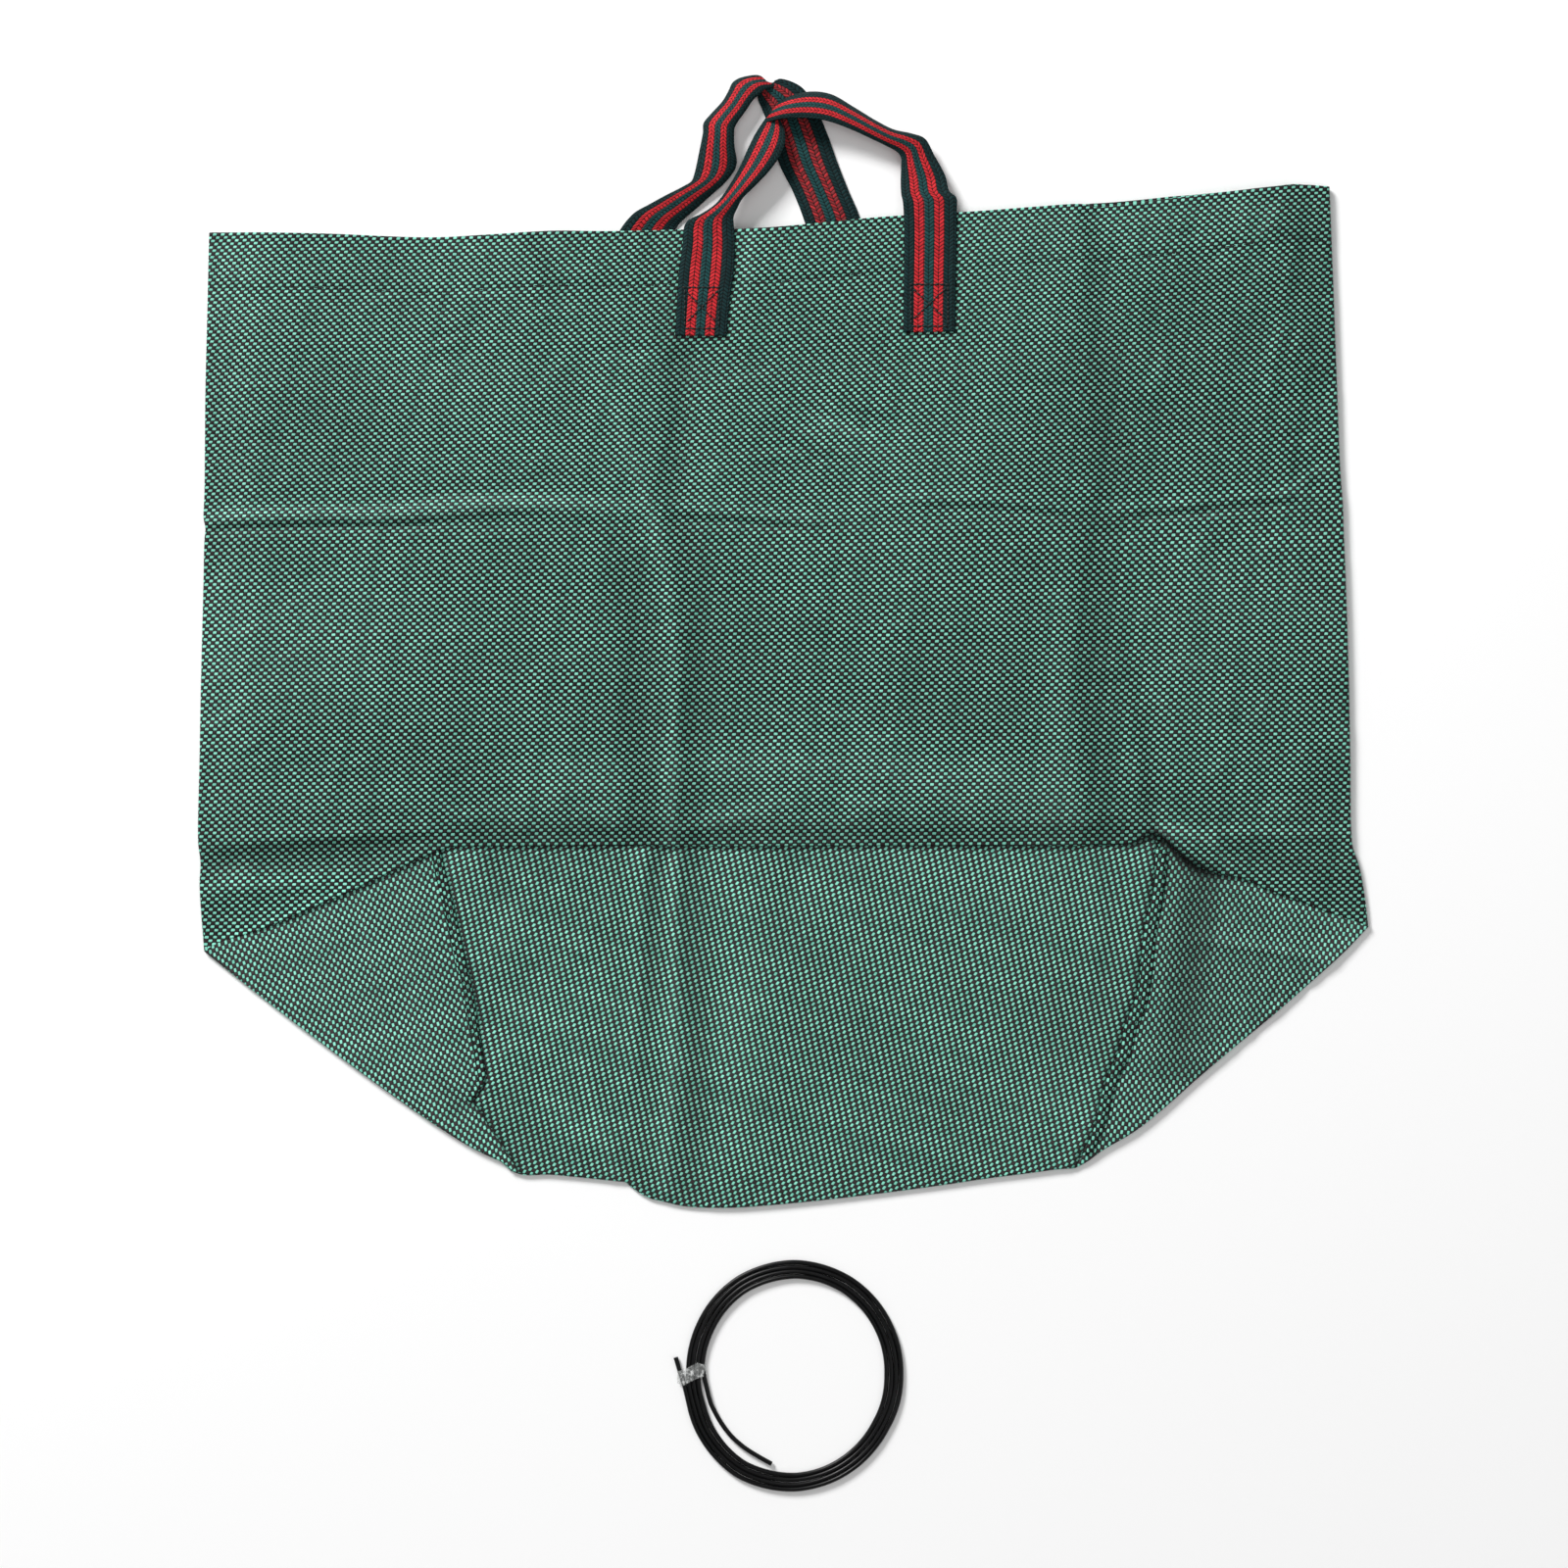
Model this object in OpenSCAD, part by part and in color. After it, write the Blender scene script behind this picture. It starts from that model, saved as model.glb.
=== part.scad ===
// Rope storage bag: a round woven-tape sack laid flat, with its base folded up
// onto the back wall, two webbing carry handles and the loose hoop rod that
// stiffens the mouth, wound into a small coil beside it.
// Millimetres. X runs across the bag, Y from the base to the mouth, Z up.
// The bag lies on Z = 0 and its own box is centred on X = 0, Y = 0.

/* [Bag] */
// Width of the bag laid flat, from side fold to side fold
flat_w = 705; // [640:1:780]
// Thickness that stands for one layer of cloth
cloth_t = 2; // [1.8:0.1:2.2]
// Free height inside the flattened bag, between back wall and front wall
inside_h = 8; // [8:0.5:14]
// Depth of the hem tunnel that the hoop rod is pushed into
hem_depth = 34; // [24:1:44]

/* [Handles] */
// Thickness of the handle webbing
web_t = 1.2; // [1:0.05:1.2]
// Thickness of the sewing thread where it stands proud of the webbing
thread_t = 0.25; // [0.15:0.05:0.28]
// Width of one line of sewing thread
thread_w = 0.7; // [0.5:0.1:1.2]

/* [Hoop rod] */
// Diameter of the hoop rod
rod_d = 2.7; // [2.4:0.1:3]
// Turns that lie side by side in the coil
turns = 4; // [4:1:4]
// Thickness of the clear tape that holds the coil
tape_t = 0.3; // [0.2:0.05:0.4]

/* [Hidden] */
$fn = 48;
u = flat_w / 1150;          // one layout unit: the flat width is 1150 of them
function L(p) = [(p[0] - 799) * u, (654.5 - p[1]) * u];   // layout point to millimetres
function LL(pts) = [for (p = pts) L(p)];
z_front = cloth_t + inside_h;          // underside of the front wall
z_top = z_front + cloth_t;             // outer face of the front wall
fold_y = 863;                          // layout height of the fold across the bag
gap = 1.6;                             // half the room kept open along the fold, in units

// Outline of the flattened bag, in layout units
mouth = [[213, 237], [440, 243], [560, 236], [700, 235], [900, 222], [1000, 216],
         [1100, 209], [1118, 212], [1230, 199], [1327, 187], [1357, 190]];
right_edge = [[1365, 400], [1371, 520], [1377, 700], [1379, 850]];
left_edge = [[201, 850], [204, 700], [208, 520], [209, 400]];
bottom = [[530, 1195], [640, 1210], [690, 1229], [740, 1232], [900, 1218],
          [1050, 1197], [1095, 1190]];
seam_left = [[450, 868], [475, 990], [493, 1105], [530, 1195]];
seam_right = [[1095, 1190], [1130, 1120], [1146, 1095], [1165, 1040], [1165, 970],
              [1180, 900], [1173, 868]];
tip_left = [207, 972];
tip_right = [1397, 945];
upper_left = [[300, 935], [350, 905], [400, 885]];
upper_right = [[1200, 872], [1250, 890], [1300, 912], [1340, 925]];

module slab(pts, z0, z1) translate([0, 0, z0]) linear_extrude(z1 - z0) polygon(LL(pts));

// ---- bag wall, mouth to fold ----
module upper_outline(z0, z1)
    slab(concat(mouth, right_edge, [[1380, fold_y - gap], [201, fold_y - gap]], left_edge), z0, z1);

module wall_front() color("#2f8f70") upper_outline(z_front, z_top);

// where the sewn ends of the back handle lie, the wall rides over them
back_tails = [[[612, 343], [662, 343], [681, 238], [631, 238]],
              [[838, 343], [888, 343], [876, 226], [825, 229]]];
module wall_back() color("#2f8f70") difference() {
    upper_outline(0, cloth_t);
    for (t = back_tails) slab(t, -1, 0.3 + web_t);
    for (t = [[[631, 238], [681, 238], [681, 200], [631, 200]],
              [[825, 229], [876, 226], [876, 200], [825, 200]]]) slab(t, -1, 0.3 + web_t);
}

module side_strip(edge, inward) slab(concat(edge, [for (i = [len(edge) - 1:-1:0]) edge[i] + [inward, 0]]),
                                     cloth_t, z_front);
module side_fold_left() color("#267a60")
    side_strip([[214, 240], [209, 400], [208, 520], [204, 700], [201, 850], [201, fold_y - gap]], 5);
module side_fold_right() color("#267a60")
    side_strip([[1356.5, 193], [1365, 400], [1371, 520], [1377, 700], [1379, 850], [1380, fold_y - gap]], -5);

// ---- the front wall turned under itself, and the hidden half of the base ----
under_z = cloth_t + 3.2;
hidden_half = [[450, fold_y - gap], [1173, fold_y - gap], [1178, 800], [1160, 700], [1110, 605], [1020, 530],
               [900, 502], [730, 502], [610, 530], [520, 605], [468, 700], [452, 800]];
module wall_underfold() color("#2f8f70") slab(hidden_half, under_z, under_z + cloth_t);
module wall_fold_edge() color("#2f8f70")
    slab([[450, fold_y - gap], [1173, fold_y - gap], [1173, fold_y - 9], [450, fold_y - 9]],
         under_z + cloth_t, z_front);
base_z0 = cloth_t + 0.6;
module base_panel_upper() color("#3a9a7c") slab(hidden_half, base_z0, base_z0 + 1.8);

// ---- hem tunnel: the mouth edge turned inward and sewn down ----
function below(pts, d) = [for (i = [len(pts) - 1:-1:0]) pts[i] + [0, d]];
hem_in = [[222, 240], [440, 245], [560, 238], [700, 237], [900, 224], [1000, 218],
          [1100, 211], [1118, 214], [1230, 201], [1327, 190], [1348, 192]];
hem_d = hem_depth / u;
module hem_turnover_front() color("#1f6f56")
    slab(concat(hem_in, below(hem_in, hem_d)), z_front - 1.2, z_front - 0.3);
module hem_turnover_back() color("#1f6f56")
    slab(concat(hem_in, below(hem_in, hem_d)), cloth_t + 0.3, cloth_t + 1.2);
hem_line = [[216, 238], [440, 243], [685, 236]];
hem_line_mid = [[752, 234], [915, 222]];
hem_line_right = [[982, 218], [1100, 211], [1230, 201], [1355, 191]];
module thread_run(line, d, z) slab(concat(line + [for (p = line) [0, d]], below(line, d + thread_w / u)), z, z + thread_t);
module hem_thread_front() color("#101010") {
    thread_run(hem_line, hem_d, z_top);
    thread_run(hem_line_mid, hem_d, z_top);
    thread_run(hem_line_right, hem_d, z_top);
}

// ---- sewn ends of the two handles ----
front_tails = [[[689, 343], [741, 343], [748, 236], [698, 236]],
               [[922, 339], [974, 339], [976, 218], [923, 221.5]]];
module front_tail_left() color("#0c3a38") slab(front_tails[0], z_top, z_top + web_t);
module front_tail_right() color("#0c3a38") slab(front_tails[1], z_top, z_top + web_t);
module back_tail_left() color("#0c3a38") slab(back_tails[0], 0.3, 0.3 + web_t);
module back_tail_right() color("#0c3a38") slab(back_tails[1], 0.3, 0.3 + web_t);

// one line of thread between two layout points
module thread(a, b, z) {
    p = L(a); q = L(b); d = q - p; n = norm(d);
    translate([p[0], p[1], z]) rotate([0, 0, atan2(d[1], d[0])])
        translate([0, -thread_w / 2, 0]) cube([n, thread_w, thread_t]);
}
// boxed cross: four sides and two diagonals
module box_cross(c, w, h, z) {
    x0 = c[0] - w / 2; x1 = c[0] + w / 2; y0 = c[1] - h / 2; y1 = c[1] + h / 2;
    thread([x0, y0], [x1, y0], z); thread([x0, y1], [x1, y1], z);
    thread([x0, y0], [x0, y1], z); thread([x1, y0], [x1, y1], z);
    thread([x0, y0], [x1, y1], z); thread([x0, y1], [x1, y0], z);
}
module tail_stitching_front() color("#0a0a0a") {
    box_cross([716, 314], 32, 41, z_top + web_t);
    box_cross([948, 311], 34, 41, z_top + web_t);
}
module tail_stitching_back() color("#0a0a0a") {
    box_cross([641, 314], 32, 40, 0.3 - thread_t);
    box_cross([861, 312], 32, 40, 0.3 - thread_t);
}

// ---- the folded-up lower part ----
fy = fold_y + gap;
module wall_back_lower() color("#2f8f70")
    slab(concat([[201, fy], [203, 900], tip_left], bottom, [tip_right, [1391, 900], [1380, fy]]), 0, cloth_t);
module base_panel_lower() color("#3a9a7c")
    slab(concat([[455, fy]], [for (p = seam_left) p + [5, 0]], [for (i = [1:5]) bottom[i]],
                [for (p = seam_right) p - [5, 0]], [[1168, fy]]),
         base_z0, base_z0 + 1.8);
module gusset_left() color("#2f8f70")
    slab(concat([tip_left], upper_left, [[441, 868]], [for (p = [seam_left[1], seam_left[2]]) p - [9, 0]],
                [[517, 1184]]), cloth_t, cloth_t + 2.2);
module gusset_right() color("#2f8f70")
    slab(concat([tip_right], [[1340, 925], [1300, 912], [1250, 890], [1200, 872], [1182, 868]],
                [[1189, 900], [1174, 970], [1174, 1040], [1156, 1097], [1140, 1122], [1110, 1182]]),
         cloth_t, cloth_t + 2.2);
module wall_corner_left() color("#2f8f70")
    slab(concat([[201, fy], [203, 900], tip_left], upper_left, [[440, 869], [448, fy]]), cloth_t + 2.4, z_front - 2);
module wall_corner_right() color("#2f8f70")
    slab(concat([[1380, fy], [1391, 900], tip_right], [[1340, 925], [1300, 912], [1250, 890], [1200, 872]],
                [[1190, fy]]), cloth_t + 2.4, z_front - 2);
// seam allowance that stands up where base and side wall are sewn together
module base_seam_left() color("#1f6f56")
    slab(concat([for (p = seam_left) p + [4, 0]], [for (i = [3:-1:0]) seam_left[i] - [8, 0]]),
         cloth_t + 0.4, cloth_t + 3.4);
module base_seam_right() color("#1f6f56")
    slab(concat([for (p = seam_right) p + [8, 0]], [for (i = [6:-1:0]) seam_right[i] - [4, 0]]),
         cloth_t + 0.4, cloth_t + 3.4);
module base_seam_thread() color("#101010") {
    for (i = [0:2]) thread(seam_left[i] - [2, 0], seam_left[i + 1] - [2, 0], cloth_t + 3.4);
    for (i = [0:5]) thread(seam_right[i] + [2, 0], seam_right[i + 1] + [2, 0], cloth_t + 3.4);
}

// ---- webbing loops: [left edge x, y, z,  right edge x, y, z] ----
function edge_a(s) = [(s[0] - 799) * u, (654.5 - s[1]) * u, s[2]];
function edge_b(s) = [(s[3] - 799) * u, (654.5 - s[4]) * u, s[5]];
function mid(s) = (edge_a(s) + edge_b(s)) / 2;
function unit(v) = v / norm(v);
function normal_at(st, i) = let (n = len(st),
    t = mid(st[min(i + 1, n - 1)]) - mid(st[max(i - 1, 0)]))
    unit(cross(edge_b(st[i]) - edge_a(st[i]), t));
module ribbon(st) {
    n = len(st);
    pts = [for (i = [0:n - 1]) let (m = normal_at(st, i) * web_t / 2, a = edge_a(st[i]), b = edge_b(st[i]))
           each [a - m, b - m, b + m, a + m]];
    sides = [for (i = [0:n - 2]) for (k = [0:3]) let (j = (k + 1) % 4)
             each [[4 * i + k, 4 * i + j, 4 * i + 4 + j], [4 * i + k, 4 * i + 4 + j, 4 * i + 4 + k]]];
    e = 4 * (n - 1);
    polyhedron(pts, concat(sides, [[0, 3, 2], [0, 2, 1], [e, e + 1, e + 2], [e, e + 2, e + 3]]));
}
front_leg = [[698, 231, 12.8, 748, 231, 12.8], [702, 226, 12.8, 748, 224, 12.8],
             [716, 219, 11.5, 755, 217, 13], [731, 207, 9, 763, 205, 14],
             [744, 190, 7, 768, 194, 15], [756, 168, 5, 784, 176, 15],
             [764, 150, 5, 796, 160, 14], [771, 136, 5, 801, 148, 12],
             [778, 125, 5, 800, 136, 8], [783, 118, 5, 796, 122, 5.5]];
front_run = [[780, 124, 5.2, 792, 108, 5.2], [799, 122, 14, 805, 99, 7],
             [822, 122, 17, 827, 94, 8], [843, 125, 17, 847, 96, 8],
             [867, 132, 16, 870, 109, 8], [889, 142, 14, 893, 123, 8],
             [903, 149, 12, 912, 132, 8], [918, 155, 10, 930, 136, 8],
             [920, 160, 9, 943, 141, 8], [919.5, 171, 9, 954, 158, 8],
             [919, 185, 10, 965, 179, 9], [920.5, 203, 12.3, 972, 200, 12.3],
             [922.5, 217.5, 12.8, 975, 214, 12.8]];
back_leg = [[630, 231, 0.9, 689, 231, 0.9], [646, 217, 2.5, 697, 223, 1.2],
            [663, 207.5, 4, 712, 210, 1.4], [680, 198, 5, 726, 197.5, 2],
            [696, 190.5, 5.5, 738, 187, 2.5], [706.5, 185, 5.5, 748, 176, 3],
            [709, 177, 5, 751, 169, 4], [712, 164, 4.5, 751, 161, 5.5],
            [715, 147, 4, 749, 150, 8], [718, 134, 3.5, 748.5, 139, 9],
            [718, 125, 3.5, 749, 131, 9], [726, 115, 3.5, 753, 124, 9],
            [737, 103, 3.5, 761, 113, 9], [744, 92, 3.5, 769, 102, 8.5],
            [748, 83, 3.5, 775, 96, 8], [758, 78, 3.5, 780, 90, 6],
            [776, 77, 2, 789, 88, 2.4]];
back_right = [[773, 97, 1.8, 794, 79, 1.8], [778, 111, 1.2, 818, 88, 1.2],
              [783, 124, 1, 834, 112, 1], [789, 145, 1, 845, 137, 1],
              [796, 168, 1, 854, 163, 1], [809, 194, 1, 865, 191, 1],
              [822, 226, 0.9, 877, 222, 0.9]];
module front_handle_loop() color("#a3242c") union() { ribbon(front_leg); ribbon(front_run); }
module back_handle_loop() color("#a3242c") union() { ribbon(back_leg); ribbon(back_right); }

// ---- hoop rod wound into a coil, and the tape round it ----
coil_c = [811, 1404.5];
coil_w = 4.4 * rod_d;
coil_rx = 111 * u; coil_ry = 118 * u;
rod_z = tape_t;
function ring_at(rx, ry) = [for (a = [0:7.5:352.5]) L(coil_c) + [rx * cos(a), ry * sin(a)]];
module coil_ring(z0, h, grow = 0) translate([0, 0, z0]) linear_extrude(h) difference() {
    polygon(ring_at(coil_rx + grow, coil_ry + grow));
    polygon(ring_at(coil_rx - coil_w - grow, coil_ry - coil_w - grow));
}
module hoop_rod_coil() color("#0d0d0d") coil_ring(rod_z, rod_d);
end_a = [[688, 1387], [697, 1408]];
module end_rod(d) {
    p = L(end_a[0]); q = L(end_a[1]); v = q - p;
    translate([p[0], p[1], rod_z + rod_d / 2]) rotate([0, 90, atan2(v[1], v[0])]) cylinder(d = d, h = norm(v));
}
module hoop_rod_outer_end() color("#0d0d0d") difference() {
    end_rod(rod_d);
    coil_ring(0, 10, 0.02);
    intersection() { tape_block(); }
}
inner_route = [[722, 1424, 1], [727, 1439, 1], [735, 1453, 1], [746, 1467, 1], [759, 1478.5, 1],
               [773, 1487.5, 1], [787, 1495, 1]];
function ip(k) = let (p = L(inner_route[k])) [p[0], p[1], rod_z + rod_d / 2];
module hoop_rod_inner_end() color("#0d0d0d") difference() {
    union() {
        n = len(inner_route);
        pts = [for (i = [0:n - 1]) let (t = unit(ip(min(i + 1, n - 1)) - ip(max(i - 1, 0))), s = [-t[1], t[0], 0])
               each [for (a = [0:45:315]) ip(i) + (s * cos(a) + [0, 0, sin(a)]) * rod_d / 2]];
        sides = [for (i = [0:n - 2]) for (k = [0:7]) let (j = (k + 1) % 8)
                 each [[8 * i + k, 8 * i + 8 + j, 8 * i + j], [8 * i + k, 8 * i + 8 + k, 8 * i + 8 + j]]];
        e = 8 * (n - 1);
        polyhedron(pts, concat(sides, [[for (k = [0:7]) k], [for (k = [7:-1:0]) e + k]]));
    }
    coil_ring(0, 10, 0.02);
}
module tape_block() {
    p = L([706.5, 1402]);
    translate([p[0], p[1], 0]) rotate([0, 0, 11]) translate([-9.5, -7, 0]) cube([18.5, 14, rod_d + 2 * tape_t]);
}
module coil_tape() color("#d8dcda") difference() {
    tape_block();
    coil_ring(rod_z, rod_d);
}

wall_front();
wall_back();
side_fold_left();
side_fold_right();
wall_fold_edge();
wall_underfold();
base_panel_upper();
hem_turnover_front();
hem_turnover_back();
hem_thread_front();
front_tail_left();
front_tail_right();
back_tail_left();
back_tail_right();
tail_stitching_front();
tail_stitching_back();
wall_back_lower();
base_panel_lower();
gusset_left();
gusset_right();
wall_corner_left();
wall_corner_right();
base_seam_left();
base_seam_right();
base_seam_thread();
front_handle_loop();
back_handle_loop();
hoop_rod_coil();
hoop_rod_outer_end();
hoop_rod_inner_end();
coil_tape();
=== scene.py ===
import bpy
import math
import numpy as np
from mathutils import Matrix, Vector


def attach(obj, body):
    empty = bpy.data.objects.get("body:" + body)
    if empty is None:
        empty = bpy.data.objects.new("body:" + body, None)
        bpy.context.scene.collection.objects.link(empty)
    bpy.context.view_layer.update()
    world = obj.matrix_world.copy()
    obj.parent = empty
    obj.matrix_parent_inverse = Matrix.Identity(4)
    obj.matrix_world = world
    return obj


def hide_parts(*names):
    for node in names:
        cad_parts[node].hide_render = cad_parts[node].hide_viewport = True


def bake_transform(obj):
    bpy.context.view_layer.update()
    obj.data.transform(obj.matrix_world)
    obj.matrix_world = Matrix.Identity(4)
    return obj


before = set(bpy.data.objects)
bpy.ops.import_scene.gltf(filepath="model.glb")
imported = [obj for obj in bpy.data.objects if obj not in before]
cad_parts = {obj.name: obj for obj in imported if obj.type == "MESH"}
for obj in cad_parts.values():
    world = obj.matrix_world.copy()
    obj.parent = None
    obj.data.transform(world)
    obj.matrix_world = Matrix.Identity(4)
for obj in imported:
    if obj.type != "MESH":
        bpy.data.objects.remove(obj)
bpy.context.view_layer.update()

# Layout units: the plan is drawn on a square grid, y downwards, with U millimetres to a unit.
U = 705.0 / 1150.0


def mx(x):
    return (np.asarray(x, float) - 799.0) * U / 1000.0


def my(y):
    return (654.5 - np.asarray(y, float)) * U / 1000.0


def to_m(P):
    """(..., 3) plan x, plan y, height in mm -> metres in the row frame."""
    P = np.asarray(P, float)
    return np.stack([mx(P[..., 0]), my(P[..., 1]), P[..., 2] / 1000.0], -1)


def S(t):
    t = np.clip(t, 0, 1)
    return t * t * (3 - 2 * t)


def catmull(pts, per=14):
    P = np.asarray(pts, float)
    P = np.vstack([2 * P[0] - P[1], P, 2 * P[-1] - P[-2]])
    out = []
    for i in range(1, len(P) - 2):
        p0, p1, p2, p3 = P[i - 1 : i + 3]
        t0 = 0.0
        t1 = t0 + max(np.linalg.norm(p1 - p0), 1e-6) ** 0.5
        t2 = t1 + max(np.linalg.norm(p2 - p1), 1e-6) ** 0.5
        t3 = t2 + max(np.linalg.norm(p3 - p2), 1e-6) ** 0.5
        t = np.linspace(t1, t2, per, endpoint=False)[:, None]
        a1 = (t1 - t) / (t1 - t0) * p0 + (t - t0) / (t1 - t0) * p1
        a2 = (t2 - t) / (t2 - t1) * p1 + (t - t1) / (t2 - t1) * p2
        a3 = (t3 - t) / (t3 - t2) * p2 + (t - t2) / (t3 - t2) * p3
        b1 = (t2 - t) / (t2 - t0) * a1 + (t - t0) / (t2 - t0) * a2
        b2 = (t3 - t) / (t3 - t1) * a2 + (t - t1) / (t3 - t1) * a3
        out.append((t2 - t) / (t2 - t1) * b1 + (t - t1) / (t2 - t1) * b2)
    out.append(P[-2][None, :])
    return np.vstack(out)


def arc_fraction(C):
    d = np.r_[0, np.cumsum(np.linalg.norm(np.diff(C, axis=0), axis=1))]
    return d / d[-1]


def at(C, par, t):
    t = np.asarray(t, float)
    return np.stack([np.interp(t, par, C[:, k]) for k in range(C.shape[1])], -1)


def coons(top, bottom, left, right, s, t):
    """Plan points of a patch between four curves; each curve is (points, parameter)."""
    T, B = at(*top, s), at(*bottom, s)
    Lf, R = at(*left, t), at(*right, t)
    ss, tt = s[None, :, None], t[:, None, None]
    return (
        (1 - tt) * T[None]
        + tt * B[None]
        + (1 - ss) * Lf[:, None]
        + ss * R[:, None]
        - ((1 - ss) * (1 - tt) * T[0] + ss * (1 - tt) * T[-1] + (1 - ss) * tt * B[0] + ss * tt * B[-1])
    )


def poly_distance(X, Y, pts):
    """Distance to a polyline, the side it lies on (+ on the left of travel in plan), and how far along it, 0 to 1."""
    P = np.asarray(pts, float)
    best = np.full(X.shape, 1e9)
    side = np.ones(X.shape)
    along = np.zeros(X.shape)
    seg = np.linalg.norm(np.diff(P, axis=0), axis=1)
    start = np.r_[0, np.cumsum(seg)]
    for i in range(len(P) - 1):
        ax, ay = P[i]
        dx, dy = P[i + 1] - P[i]
        n2 = dx * dx + dy * dy
        if n2 < 1e-9:
            continue
        t = np.clip(((X - ax) * dx + (Y - ay) * dy) / n2, 0, 1)
        ex, ey = X - ax - t * dx, Y - ay - t * dy
        d = np.hypot(ex, ey)
        m = d < best
        best[m] = d[m]
        side[m] = np.sign(dx * ey - dy * ex)[m]
        along[m] = ((start[i] + t * seg[i]) / start[-1])[m]
    return best, side, along


def line_spacing(n, edge_a, black_gap_shade, k=5):
    """0 to 1 in n steps, with k lines crowded into the rounded edge at each end."""
    a = edge_a * (1 - np.cos(np.linspace(0, math.pi / 2, k + 1)))
    b = black_gap_shade * (1 - np.cos(np.linspace(0, math.pi / 2, k + 1)))
    return np.r_[a, np.linspace(edge_a, 1 - black_gap_shade, n + 1)[1:-1], (1 - b)[::-1]]


# ------------------------------------------------------------------ camera
cam_data = bpy.data.cameras.new("camera")
cam = bpy.data.objects.new("camera", cam_data)
bpy.context.scene.collection.objects.link(cam)
CAM_H = 3.2
cam.location = (float(mx(800)), float(my(800)), CAM_H)
cam.rotation_euler = (0, 0, 0)
cam_data.lens = 36.0 * (CAM_H - 0.008) / (1600 * U / 1000.0)
cam_data.clip_end = 50
bpy.context.scene.camera = cam

# ------------------------------------------------------------------ hoop rod, wound and taped
ROD = 0.0029
LANE = 4.86
RO_A = [0, 30, 60, 90, 120, 150, 180, 195, 210, 240, 270, 300, 330, 360]
RO_R = [111, 113, 116.5, 118, 117.2, 113.6, 111.2, 114.6, 117, 120.3, 119, 115, 111.5, 111]
COIL_C = (811.0, 1404.5)
ROD_Z = 1.78


def coil_path():
    r = ROD * 1000 / U / 2
    pts = [(689.3, 1386.2), (691.3, 1393), (693.5, 1400.5), (695.9, 1408.0), (698.4, 1416.0)]
    out = [(x, y) for x, y in catmull(pts, 6)]
    rng = np.random.default_rng(11)
    ph = rng.uniform(0, 6.28, (6, 5))
    a = 196.0
    while a <= 1617.0:
        lane = sum(float(S((a - (176 + 360 * j)) / 24.0)) for j in range(1, 5))
        k = int(round(lane))
        wob = 0.16 * math.sin(3 * math.radians(a) + ph[k % 6, 0]) + 0.12 * math.sin(7 * math.radians(a) + ph[k % 6, 1])
        q = float(np.interp(a % 360, RO_A, RO_R)) - r - LANE * lane + wob
        out.append((COIL_C[0] + q * math.cos(math.radians(a)), COIL_C[1] - q * math.sin(math.radians(a))))
        a += 3.0
    end = [(724.6, 1431.5), (728.6, 1440.5), (735.8, 1453.2), (746.3, 1466.8), (759.2, 1478.2), (773.2, 1487.2), (787.2, 1495.0)]
    out += [(x, y) for x, y in catmull([out[-1]] + end, 6)[4:]]
    return catmull(np.array(out)[::1], 2)


rod_plan = coil_path()
rod_xyz = np.stack([mx(rod_plan[:, 0]), my(rod_plan[:, 1]), np.full(len(rod_plan), ROD_Z / 1000)], -1)
rod_curve = bpy.data.curves.new("hoop_rod", "CURVE")
rod_curve.dimensions = "3D"
sp = rod_curve.splines.new("POLY")
sp.points.add(len(rod_xyz) - 1)
sp.points.foreach_set("co", np.c_[rod_xyz, np.ones(len(rod_xyz))].ravel())
# the same radius at every point; the cut ends are closed flat
sp.points.foreach_set("radius", np.ones(len(rod_xyz)))
rod_curve.bevel_depth = ROD / 2
rod_curve.bevel_resolution = 4
rod_curve.use_fill_caps = True
rod = bpy.data.objects.new("hoop_rod", rod_curve)
bpy.context.scene.collection.objects.link(rod)


# ------------------------------------------------------------------ materials
def new_mat(name):
    m = bpy.data.materials.new(name)
    m.use_nodes = True
    nt = m.node_tree
    nt.nodes.clear()
    out = nt.nodes.new("ShaderNodeOutputMaterial")
    bsdf = nt.nodes.new("ShaderNodeBsdfPrincipled")
    nt.links.new(bsdf.outputs["BSDF"], out.inputs["Surface"])
    return m, nt, bsdf


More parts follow.
